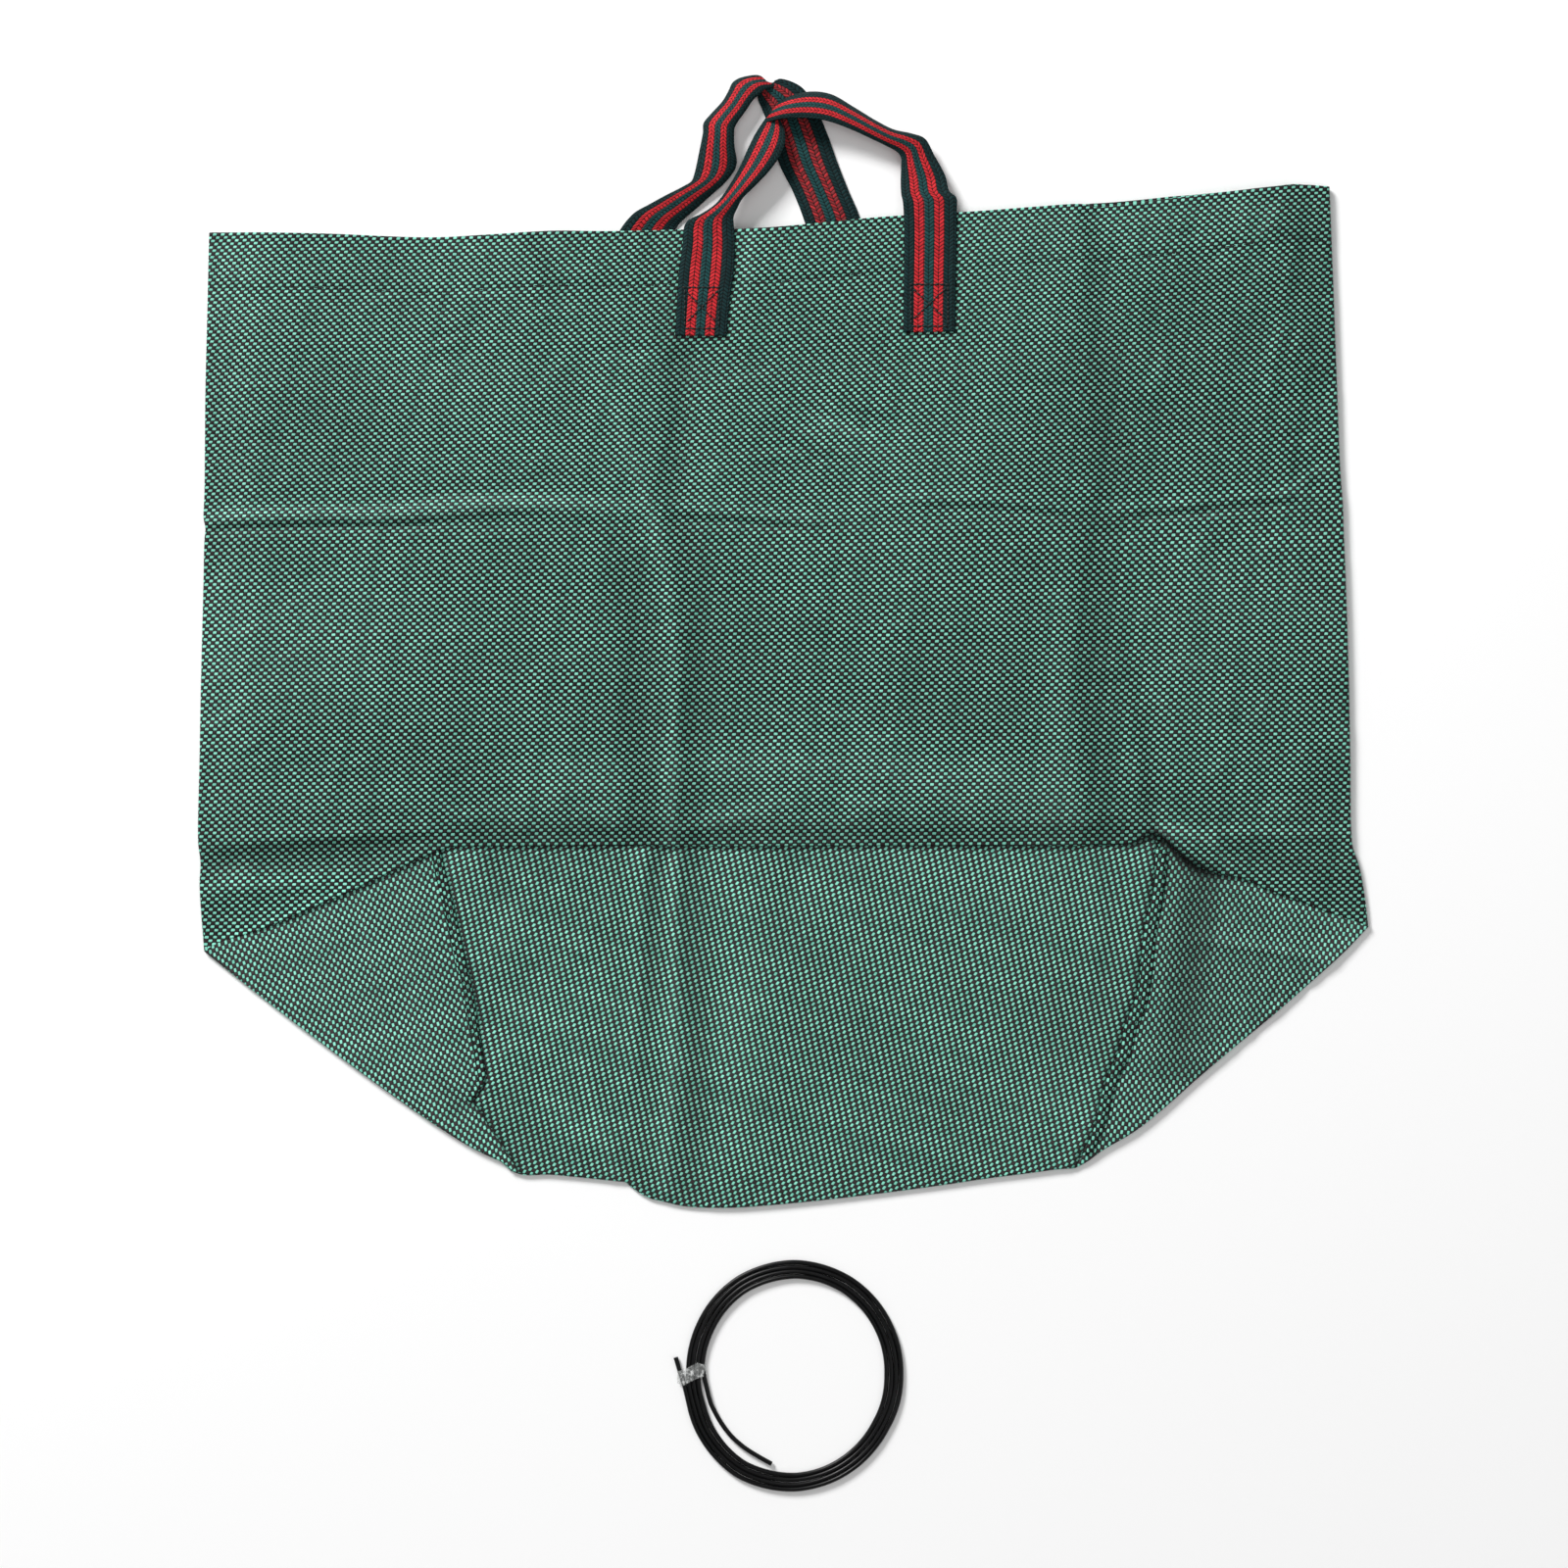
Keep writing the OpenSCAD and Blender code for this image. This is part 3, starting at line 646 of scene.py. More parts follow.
def wall_wrinkles(X, Y):
    """Everything the front wall does: the storage creases and the small crinkles."""
    z = np.zeros(X.shape)
    # crease across the upper part
    z += crease(X, Y, [(204, 533), (300, 528), (370, 527), (430, 524), (500, 516), (560, 516), (650, 521)], [1.5, 1.5, 1.3, 1.6, 1.9, 1.3, 0.5], 9)
    z -= crease(X, Y, [(204, 539), (300, 537), (370, 536), (430, 534), (500, 528), (560, 525)], [1.5, 1.3, 1.2, 1.1, 0.6, 0.2], 4.5)
    z += crease(X, Y, [(660, 520), (720, 524), (800, 530), (850, 528), (930, 513), (1010, 514), (1080, 519), (1140, 521)], [0.2, 0.7, 0.8, 0.2, 0.7, 0.4, 0.6, 0.3], 9)
    z -= crease(X, Y, [(690, 529), (760, 532), (830, 540), (860, 536)], [0.8, 1.1, 1.1, 0.1], 4.5)
    z -= crease(X, Y, [(900, 518), (950, 517), (1040, 521), (1110, 527)], [0.3, 1.1, 1.0, 0.4], 4.5)
    z += crease(X, Y, [(1140, 522), (1200, 517), (1260, 512), (1320, 506), (1372, 506)], [0.4, 0.9, 0.5, 0.9, 0.3], 8)
    z -= crease(X, Y, [(1150, 528), (1200, 524), (1260, 518), (1320, 512)], [0.8, 1.5, 1.2, 1.1], 5)
    z += crease(X, Y, [(1310, 505), (1330, 492), (1345, 480), (1374, 478)], [0.6, 1.0, 0.9, 0.5], 5)
    # main crease down the middle
    z += crease(X, Y, [(620, 395), (640, 450), (655, 495), (668, 532)], [0.1, 0.5, 0.8, 0.5], 7)
    z += crease(X, Y, [(560, 235), (585, 300), (612, 370), (630, 420)], [0.3, 0.1, 0.2, 0.1], 16)
    z -= crease(X, Y, [(676, 250), (690, 330), (694, 400), (690, 470), (686, 520)], [0.7, 1.5, 1.5, 1.2, 0.7], 14)
    z -= crease(X, Y, [(548, 240), (565, 290), (575, 330)], [0.9, 0.7, 0.1], 10)
    z -= crease(X, Y, [(640, 560), (650, 640), (655, 740), (658, 860)], [0.7, 1.3, 1.5, 1.6], 19)
    z += crease(X, Y, [(668, 535), (683, 600), (690, 700), (688, 790), (683, 864)], [0.7, 0.6, 0.7, 0.9, 1.2], 8)
    z -= crease(X, Y, [(700, 545), (712, 640), (712, 740), (706, 860)], [1.0, 1.1, 1.1, 1.1], 17)
    z += crease(X, Y, [(735, 330), (760, 300), (768, 240)], [0.1, 0.7, 0.5], 9)
    # second crease, to the right
    z -= crease(X, Y, [(1108, 212), (1118, 300), (1126, 400), (1134, 505)], [1.3, 1.2, 1.2, 0.9], 17)
    z += crease(X, Y, [(1098, 218), (1104, 260), (1110, 330)], [0.8, 0.7, 0.1], 9)
    z -= crease(X, Y, [(1124, 540), (1120, 640), (1120, 740), (1130, 855)], [0.8, 1.3, 1.4, 1.4], 20)
    z += crease(X, Y, [(1092, 560), (1085, 700), (1090, 830)], [0.2, 0.6, 0.5], 22)
    z -= crease(X, Y, [(1150, 660), (1166, 740), (1178, 850)], [0.2, 0.8, 1.0], 8)
    # swelling above the fold line, with a fall towards it
    z += crease(X, Y, [(215, 818), (400, 820), (600, 800), (780, 778), (900, 786), (1060, 810)], [0.3, 0.5, 0.4, 0.7, 0.7, 0.3], 24)
    z += crease(X, Y, [(700, 846), (740, 838), (800, 822)], [0.9, 0.8, 0.2], 9)
    # left corner
    z -= crease(X, Y, [(222, 878), (270, 874), (330, 871), (400, 866), (440, 862)], [1.6, 2.1, 2.1, 1.6, 0.9], 12)
    z += crease(X, Y, [(232, 862), (300, 856), (360, 852), (430, 848)], [0.6, 0.9, 0.7, 0.4], 9)
    z += crease(X, Y, [(215, 906), (290, 903), (350, 898)], [0.9, 1.1, 0.4], 9)
    # right corner
    z += crease(X, Y, [(1180, 848), (1214, 851), (1238, 862), (1254, 882)], [1.2, 1.4, 1.2, 0.5], 6)
    z += crease(X, Y, [(1238, 848), (1300, 850), (1378, 849)], [0.8, 0.9, 0.7], 6)
    z -= crease(X, Y, [(1262, 872), (1310, 884), (1370, 905)], [0.6, 0.7, 0.3], 9)
    # the hem is two layers thick
    hem = np.interp(X, MOUTH[:, 0], MOUTH[:, 1]) + 55.5
    z = z * 1.5
    # small crinkles and slow waves
    z += crinkles(X, Y, 3, 70, (215, 250, 700, 860), (25, 85), (3.5, 7), 0.62, -8, 28)
    z += crinkles(X, Y, 4, 60, (700, 250, 1110, 860), (25, 80), (3.5, 7), 0.56, 10, 40)
    z += crinkles(X, Y, 5, 120, (1110, 215, 1380, 900), (16, 55), (3.2, 6.5), 1.1, -60, 45)
    z += crinkles(X, Y, 6, 24, (780, 420, 900, 470), (25, 60), (3, 5), 0.70, 14, 12)
    z += crinkles(X, Y, 7, 22, (215, 590, 320, 760), (20, 60), (3, 5), 0.75, -35, 14)
    z += crinkles(X, Y, 8, 26, (780, 730, 1050, 840), (30, 70), (4, 7), 0.80, 5, 30)
    z += crinkles(X, Y, 9, 22, (380, 800, 620, 860), (20, 50), (3, 6), 0.80, 40, 30)
    z += waves(X, Y, 21, 9, 120, 420, 0.6)
    z = np.where(z > 0, 2.4 * np.tanh(z / 2.4), 3.0 * np.tanh(z / 3.0))
    return np.where(Y < hem + 14, np.maximum(z, -0.62), z)


def base_wrinkles(X, Y):
    z = np.zeros(X.shape)
    z += crease(X, Y, [(655, 866), (652, 940), (650, 1010), (640, 1110)], [0.7, 0.5, 0.4, 0.3], 11)
    z -= crease(X, Y, [(671, 866), (668, 930), (664, 1010), (658, 1110)], [1.7, 1.6, 1.2, 0.5], 8)
    z += crease(X, Y, [(688, 866), (687, 930), (688, 1020), (684, 1120), (676, 1215)], [1.2, 1.3, 1.2, 1.1, 0.8], 7)
    z -= crease(X, Y, [(705, 866), (710, 950), (714, 1040), (712, 1130), (704, 1228)], [1.4, 1.5, 1.7, 1.7, 1.3], 12)
    z += crease(X, Y, [(745, 880), (750, 960), (752, 1060), (748, 1180)], [0.5, 0.6, 0.6, 0.4], 26)
    z += crease(X, Y, [(540, 905), (500, 965)], [0.7, 0.5], 10)
    z -= crease(X, Y, [(500, 880), (520, 915), (560, 900)], [0.9, 0.6, 0.3], 9)
    z += crease(X, Y, [(585, 1060), (600, 1110), (610, 1153), (626, 1200)], [0.2, 0.6, 0.7, 0.4], 6)
    z += crease(X, Y, [(560, 1130), (600, 1160), (640, 1150)], [0.6, 0.8, 0.4], 16)
    z -= crease(X, Y, [(640, 1180), (655, 1212), (672, 1226)], [0.4, 0.9, 0.5], 6)
    z -= crease(X, Y, [(1128, 870), (1130, 960), (1124, 1040)], [0.5, 0.7, 0.3], 13)
    z += crease(X, Y, [(1116, 900), (1118, 960), (1112, 1010)], [0.3, 0.4, 0.2], 8)
    z -= crease(X, Y, [(818, 872), (806, 910), (800, 965)], [0.5, 0.5, 0.2], 11)
    z = z * 1.35
    z += crinkles(X, Y, 13, 50, (470, 890, 700, 1200), (18, 60), (3.5, 7), 0.70, 60, 40)
    z += crinkles(X, Y, 14, 40, (700, 890, 1140, 1210), (25, 90), (4, 8), 0.34, 12, 18)
    z += waves(X, Y, 23, 7, 110, 380, 0.5)
    return z


def gusset_wrinkles(X, Y):
    z = crease(X, Y, [(1223, 958), (1290, 968), (1359, 979)], [1.0, 1.2, 0.6], 6)
    z -= crease(X, Y, [(1226, 966), (1290, 976), (1350, 986)], [0.6, 0.9, 0.3], 5)
    z += crease(X, Y, [(1252, 892), (1250, 960), (1236, 1040), (1214, 1090)], [0.9, 0.8, 0.6, 0.2], 10)
    z -= crease(X, Y, [(1225, 880), (1222, 960), (1208, 1040), (1190, 1100)], [1.3, 1.6, 1.3, 0.5], 20)
    z += crease(X, Y, [(1262, 905), (1330, 930), (1380, 948)], [0.6, 0.6, 0.2], 8)
    z += crinkles(X, Y, 15, 40, (1230, 890, 1390, 1080), (18, 60), (3, 6), 0.70, 80, 30)
    z += crinkles(X, Y, 16, 46, (210, 880, 480, 1180), (20, 70), (3.5, 7), 0.60, 62, 35)
    # the dent beside the kink of the left seam
    z -= 1.3 * np.exp(-(((X - 471) / 9) ** 2) - ((Y - 1133) / 13) ** 2)
    z -= crease(X, Y, [(436, 1096), (452, 1112), (466, 1126)], [0.1, 0.7, 0.9], 7)
    z += waves(X, Y, 25, 6, 100, 300, 0.35)
    return z


# ------------------------------------------------------------------ weave coordinates (tapes counted both ways)
def weave_wall(X, Y):
    # how far the upright tapes lean: 15 degrees near the mouth, 7 near the fold
    yk = np.array([150, 400, 430, 640, 700, 1250], float)
    lean = np.array([0.262, 0.285, 0.27, 0.135, 0.150, 0.120])
    ys = np.linspace(150, 1250, 400)
    shift = np.r_[0, np.cumsum(np.interp(ys, yk, lean)[:-1] * np.diff(ys))]
    right = -0.06 * S((X - 760) / 460) * (np.minimum(Y, 540) - 540)
    u = (X + np.interp(Y, ys, shift) + right - 0.00006 * (X - 500) * (Y - 300)) / 4.13
    pitch = np.interp(ys, [150, 520, 560, 1250], [3.31, 3.31, 3.50, 3.60])
    rows = np.r_[0, np.cumsum(np.diff(ys) / pitch[:-1])]
    tilt = np.interp(Y, [200, 350, 470, 600, 860], [0.042, 0.037, 0.024, 0.008, 0.0]) * np.clip((X - 420) / 900, 0, 1) * (X - 420) + 0.009 * X
    v = np.interp(Y + tilt, ys, rows)
    return np.stack([u, v, np.zeros_like(u)], -1)


def weave_dir(X, Y, o, pu, au, pv, av):
    """Tapes at an angle: u is counted across the tapes running at au degrees, v across those at av (plan angles, y up)."""
    x, y = X - o[0], -(Y - o[1])
    # along-tape directions
    du = np.array([math.cos(math.radians(au)), math.sin(math.radians(au))])
    dv = np.array([math.cos(math.radians(av)), math.sin(math.radians(av))])
    nu = np.array([-du[1], du[0]])
    nv = np.array([-dv[1], dv[0]])
    return np.stack([(x * nu[0] + y * nu[1]) / pu, (x * nv[0] + y * nv[1]) / pv, np.zeros_like(x)], -1)


# ------------------------------------------------------------------ the front wall
Z_BACK, Z_BASE, Z_UNDER, Z_LOW, Z_FRONT = 1.1, 3.6, 5.3, 6.05, 11.1


def tails_mask(X, Y):
    """1 where the webbing ends are sewn flat on the front wall."""
    m = np.zeros(X.shape)
    for x0, x1 in ((690, 750), (921, 977)):
        m = np.maximum(m, S((X - x0 + 22) / 18) * S((x1 + 22 - X) / 18) * S((372 - Y) / 24))
    return m


def z_front(X, Y):
    d = np.minimum(X - left_x(Y), right_x(Y) - X)
    df = fold_y(X) - Y
    side = S(np.clip(d, 0, None) / 62.0)
    mid = 0.62 * S((X - 430) / 50) * S((1185 - X) / 50)
    low = mid * S(np.clip(df, 0, None) / 32.0) + (1 - mid) * S(np.clip(df, 0, None) / 85.0)
    top = Z_LOW + (Z_FRONT - Z_LOW) * side * (0.10 + 0.90 * low)
    # near the two tips all layers come together
    for tx, ty in (TIP_L, TIP_R):
        q = S(np.hypot(X - tx, Y - ty) / 110.0)
        top = top * (0.62 + 0.38 * q)
    w = wall_wrinkles(X, Y)
    w = w * (0.35 + 0.65 * S(d / 30.0)) * (0.45 + 0.55 * S(df / 26.0))
    hem = np.interp(X, MOUTH[:, 0], MOUTH[:, 1]) + 55.5
    w = w - 0.32 * S((Y - hem + 3) / 5) - 0.34 * np.exp(-(((Y - hem) / 2.2) ** 2))
    m = tails_mask(X, Y)
    top = top * (1 - m) + Z_FRONT * m
    w = w * (1 - 0.92 * m)
    # the mouth of the pocket at the right-hand corner stands open
    top = top + 3.4 * np.exp(-(((X - 1200) / 38) ** 2) - ((Y - 866) / 22) ** 2)
    return top + w


def edge_drop(e, r):
    """How far a rounded edge of radius r (both in mm) falls below the sheet, e in from the edge."""
    e = np.clip(e, 0, r)
    return r - np.sqrt(np.clip(r * r - (r - e) ** 2, 0, None))


def painted_light_from_relief(w, X, Y, lift=1.0, painted_sheen=0.0):
    """Painted light and shade from the relief itself: ridges lighter, hollows darker, times lift, which carries further
    painted light and shade; painted sheen rises on the ridges.
    """
    k = np.where(w > 0, 0.15, 0.24) * np.tanh(w / 1.1)
    t = lift * (1 + k)
    # painted highlight: the pale sheen grows on raised ridges
    d = painted_sheen + 0.012 * np.clip(w, 0, 1.6)
    return np.stack([t, d, np.zeros_like(t)], -1)


def build_front():
    w = 1144.0
    s = line_spacing(330, 3.4 / w, 3.4 / w)
    t = line_spacing(196, 1.0 / 640, 2.2 / 640)
    top = (MOUTH, (MOUTH[:, 0] - 213) / 1144.0)
    bot = (FOLD, (FOLD[:, 0] - TIP_L[0]) / (TIP_R[0] - TIP_L[0]))
    lf = (LEFT, (LEFT[:, 1] - 237) / (971 - 237.0))
    rt = (RIGHT, (RIGHT[:, 1] - 190) / (946 - 190.0))
    P = coons(top, bot, lf, rt, s, t)
    X, Y = P[..., 0], P[..., 1]
    Z = z_front(X, Y)
    ds = np.minimum(X - X[:, :1], X[:, -1:] - X) * U
    Z = Z - edge_drop(ds, 2.1)
    dt = (Y - Y[:1]) * U
    Z = Z - edge_drop(dt, 0.55)
    db = (Y[-1:] - Y) * U
    Z = Z - edge_drop(db, 0.75)
    # painted shade in a band above the fold and a painted shadow under the right pocket's rolled edge; painted light on
    # the left corner and along the left fold edge
    ob = shell("cloth_front", to_m(np.stack([X, Y, Z], -1)), 0.45, M_WALL, {"weave": weave_wall(X, Y), "painted_light_shade": painted_light_from_relief(wall_wrinkles(X, Y), X, Y, (1 - 0.22 * np.exp(-(((fold_y(X) - Y - 9) / 15) ** 2)) * S((X - 430) / 60) * S((1200 - X) / 60) + 0.32 * np.exp(-(((X - 300) / 100) ** 2)) * S((Y - 880) / 14) + 0.45 * np.exp(-(((fold_y(X) - Y) / 7) ** 2)) * S((430 - X) / 50)) * (1 - 0.88 * np.exp(-(((fold_y(X) - Y - 2.5) / 4.2) ** 2)) * S((X - 1150) / 25) * S((1265 - X) / 40)))})
    return ob


# hidden outline of the base's far half
ARC = catmull([(440, 866), (447, 820), (452, 800), (468, 700), (520, 605), (610, 530), (730, 502), (900, 502), (1020, 530), (1110, 605), (1160, 700), (1178, 800), (1186, 850)], 8)


def build_underfold():
    """The wall turned under at the fold: it runs back to the base's far edge, and as a short lip at both corners."""
    n = 150
    s = np.linspace(0, 1, n)
    x0 = TIP_L[0] + 6 + s * (TIP_R[0] - TIP_L[0] - 12)
    yf = fold_y(x0)
    arc_y = np.interp(x0, ARC[:, 0], ARC[:, 1])
    inside = (x0 > 446) & (x0 < 1180)
    lip = np.minimum(26.0, 0.16 * np.minimum(x0 - TIP_L[0], TIP_R[0] - x0))
    depth = np.where(inside, yf - arc_y, lip)
    depth = np.maximum(depth, lip)
    k = np.ones(5) / 5
    depth = np.convolve(np.pad(depth, 2, mode="edge"), k, "valid")
    t = np.r_[0.35 * (1 - np.cos(np.linspace(0, math.pi / 2, 5))) / 100, np.linspace(0.006, 1, 46)]
    X = np.repeat(x0[None], len(t), 0)
    Y = yf[None] - 0.9 - (depth[None] - 0.9) * t[:, None]
    e = (yf[None] - 0.4 - Y) * U
    Zf = z_front(X, Y)
    Zf0 = z_front(x0, yf)[None]
    near = S(e / 14.0)
    Z = (Zf0 - 1.5) * (1 - near) + (Z_UNDER + 0.0 * X) * near
    Z = np.maximum(np.minimum(Z, Zf - 1.1), 4.7 * S((X - 440) / 40) * S((1190 - X) / 40))
    Z = Z + edge_drop(e, 0.6)
    W = weave_wall(X, 2 * yf[None] - Y)
    # rows run from the fold upwards, so the sheet is flipped to face outwards
    return shell("cloth_underfold", to_m(np.stack([X, Y, Z], -1))[::-1], 0.45, M_WALL, {"weave": W[::-1]})


# ------------------------------------------------------------------ back wall
def build_back():
    Lc = np.vstack([LEFT, DIAG_L[1:]])
    Rc = np.vstack([RIGHT, DIAG_R[1:]])
    nl, nr = len(LEFT) - 1, len(RIGHT) - 1
    cut = 0.60
    pl_ = np.r_[cut * arc_fraction(LEFT), cut + (1 - cut) * arc_fraction(DIAG_L)[1:]]
    pr_ = np.r_[cut * arc_fraction(RIGHT), cut + (1 - cut) * arc_fraction(DIAG_R)[1:]]
    top = (MOUTH_BACK, (MOUTH_BACK[:, 0] - 213) / 1144.0)
    bot = (BOTTOM, arc_fraction(BOTTOM))
    s = line_spacing(210, 3.2 / 1150, 3.2 / 1150)
    t = line_spacing(190, 1.2 / 1000, 2.2 / 1000)
    P = coons(top, bot, (Lc, pl_), (Rc, pr_), s, t)
    X, Y = P[..., 0], P[..., 1]
    outline = np.vstack([Lc, BOTTOM[1:], Rc[::-1][1:]])
    d, _, _ = poly_distance(X, Y, outline[::2])
    d = d * U
    Z = np.full(X.shape, Z_BACK)
    Z += 0.35 * np.abs(waves(X, Y, 31, 7, 140, 420, 1.0))
    for ax, bx in ((606, 690), (819, 893)):
        Z += 0.85 * S((X - ax + 14) / 16) * S((bx + 14 - X) / 16) * S((372 - Y) / 24)
    # sides rise to meet the front wall, diagonals to meet the gussets
    r = 1.15 + 0.75 * S((960 - Y) / 40)
    Z = Z + np.where(d < r, edge_drop(d, 1.0) * 0 + (r - np.sqrt(np.clip(r * r - (r - np.clip(d, 0, r)) ** 2, 0, None))), 0)
    ob = shell("cloth_back", to_m(np.stack([X, Y, Z], -1)), 0.45, M_WALL, {"weave": weave_wall(2 * 799 - X, Y)})
    return ob


# ------------------------------------------------------------------ base panel
def seam_dip(X, Y, dist_mm, depth):
    return depth * np.exp(-((dist_mm / 2.2) ** 2))


def build_base():
    hidden_l = catmull([(447, 850), (452, 800), (468, 700), (520, 605), (610, 530)], 8)
    hidden_r = catmull([(1180, 850), (1178, 800), (1160, 700), (1110, 605), (1020, 530)], 8)
    top_c = catmull([(610, 530), (668, 511), (730, 502), (815, 498), (900, 502), (964, 512), (1020, 530)], 8)
    Lc = np.vstack([hidden_l[::-1], SEAM_L[1:]])
    Rc = np.vstack([hidden_r[::-1], SEAM_R[1:]])
    nl = len(hidden_l)
    pl_ = np.r_[0.45 * arc_fraction(hidden_l[::-1]), 0.45 + 0.55 * arc_fraction(SEAM_L)[1:]]
    pr_ = np.r_[0.45 * arc_fraction(hidden_r[::-1]), 0.45 + 0.55 * arc_fraction(SEAM_R)[1:]]
    s = line_spacing(206, 2.0 / 640, 2.0 / 640)
    t = line_spacing(200, 1.5 / 700, 2.2 / 700)
    P = coons((top_c, arc_fraction(top_c)), (BOTTOM, arc_fraction(BOTTOM)), (Lc, pl_), (Rc, pr_), s, t)
    X, Y = P[..., 0], P[..., 1]
    vis = S((Y - 866) / 24.0)
    Z = Z_BASE + base_wrinkles(X, Y) * (0.12 + 0.88 * vis) * 0.85
    ds, _, _ = poly_distance(X, Y, np.vstack([SEAM_L])[::2])
    dr, _, _ = poly_distance(X, Y, np.vstack([SEAM_R])[::2])
    dm = np.minimum(ds, dr) * U
    Z -= 1.35 * np.exp(-((dm / 2.6) ** 2))
    Z += 0.35 * np.exp(-(((Y - 864) / 14) ** 2))
    db, _, _ = poly_distance(X, Y, BOTTOM[::2])
    db = db * U
    Z -= edge_drop(db, 1.15)
    Z -= 0.5 * np.exp(-((db / 14) ** 2))
    Z = np.maximum(Z, 2.05)
    W = weave_dir(X, Y, (700, 1000), 4.16, -19, 3.52, 55.8)
    # base painted lighter overall with a pale painted sheen; painted shade along both seam grooves and a painted shadow
    # below the fold by the right pocket
    return shell("cloth_base", to_m(np.stack([X, Y, Z], -1)), 0.45, M_BASE, {"weave": W, "painted_light_shade": painted_light_from_relief(base_wrinkles(X, Y), X, Y, 1.14 * (1 - 0.66 * np.exp(-((dm / 2.3) ** 2))) * (1 - 0.82 * np.exp(-((np.clip(Y - fold_y(X) - 2, 0, None) / 5.0) ** 2)) * S((X - 1135) / 30)), 0.012)})


# ------------------------------------------------------------------ gussets
def offset_line(C, d):
    """A polyline moved sideways by d units, to the left of its travel in plan with y down."""
    T = np.gradient(C, axis=0)
    T /= np.maximum(np.linalg.norm(T, axis=1, keepdims=True), 1e-9)
    return C + d * np.stack([T[:, 1], -T[:, 0]], -1)


def build_gusset(side):
    if side == "left":
        tip = np.array(TIP_L)
        top = catmull([(208.5, 966), (268, 922), (322, 898), (390, 862), (449, 838)], 8)
        seam = catmull([(449, 838), (449, 861), (453, 885), (462, 919), (469, 952), (475, 978), (481, 1004), (488, 1045), (492.5, 1080), (495, 1097), (493.5, 1106), (487, 1116), (483, 1124), (487, 1132), (504, 1157), (517.5, 1178), (530, 1197.5)], 8)
        diag = DIAG_L
        W = lambda X, Y: weave_dir(X, Y, (300, 1000), 4.28, 17.8, 3.48, -78)
        nm = "cloth_gusset_left"
    else:
        tip = np.array(TIP_R)
        top = catmull([(1396, 941), (1340, 896), (1300, 880), (1244, 862), (1186, 838)], 8)
        seam = catmull([(1186, 838), (1184, 868), (1184, 880), (1180, 917), (1172, 946), (1169, 975), (1165.6, 1006), (1160, 1028), (1152, 1046), (1146.6, 1071), (1136.6, 1093), (1128.8, 1115.6), (1124, 1140), (1116, 1162), (1106, 1178), (1098, 1191.5)], 8)
        diag = DIAG_R
        W = lambda X, Y: weave_dir(X, Y, (1300, 1000), 4.36, -6.5, 3.45, 81.2)
        nm = "cloth_gusset_right"
    s = np.r_[0.0, 0.004, np.linspace(0.012, 1, 120)]
    t = line_spacing(110, 0.0, 0.006)
    t = np.unique(t)
    left_pts = np.array([top[0], diag[0]])
    P = coons((top, arc_fraction(top)), (diag, arc_fraction(diag)), (left_pts, np.array([0.0, 1.0])), (seam, arc_fraction(seam)), s, t)
    X, Y = P[..., 0], P[..., 1]
    Z = np.full(X.shape, 3.5)
    dt = np.hypot(X - tip[0], Y - tip[1])
    vis = S((Y - fold_y(X) - 2) / 22.0)
    Z += gusset_wrinkles(X, Y) * vis * S(dt / 70.0) * 0.8
    if side == "right":
        Z -= 1.2 * np.exp(-(((X - 1205) / 34) ** 2) - ((Y - 880) / 16) ** 2)
    Z -= 0.75 * (1 - S((Y - fold_y(X) + 26) / 34.0))
    dd, _, _ = poly_distance(X, Y, diag[::2])
    Z -= edge_drop(dd * U, 1.15)
    dsm, _, _ = poly_distance(X, Y, seam[::2])
    Z -= 1.0 * np.exp(-((dsm * U / 4.0) ** 2))
    if side == "right":
        # shaded pocket behind the seam strip
        Z -= 0.9 * np.exp(-(((X - 1192) / 9) ** 2) - ((Y - 908) / 26) ** 2)
    Z = np.clip(Z, 2.0, None)
    G_ = to_m(np.stack([X, Y, Z], -1))
    w = W(X, Y)
    if side == "right":
        G_, w = G_[:, ::-1], w[:, ::-1]
    if side == "right":
        # painted shade in the hollow beside the seam, a painted shadow below the pocket's fold edge, and the gusset
        # painted lighter overall with a pale painted sheen
        hollow = np.exp(-(((X - (1222 - 0.10 * (Y - 960))) / 30) ** 2)) * S((1135 - Y) / 60)
        tn = painted_light_from_relief(gusset_wrinkles(X, Y), X, Y, (1.14 - 0.42 * hollow) * (1 - 0.92 * np.exp(-((np.clip(Y - fold_y(X) - 3, 0, None) / 6.5) ** 2)) * S((X - 1150) / 20) * S((1275 - X) / 60)), 0.014)[:, ::-1]
    else:
        # gusset painted lighter overall with a pale painted sheen, and painted shade along the seam groove
        tn = painted_light_from_relief(gusset_wrinkles(X, Y), X, Y, 1.22 * (1 - 0.40 * np.exp(-((dsm / 2.6) ** 2))), 0.018)
    return shell(nm, G_, 0.45, M_WALL, {"weave": w, "painted_light_shade": tn})


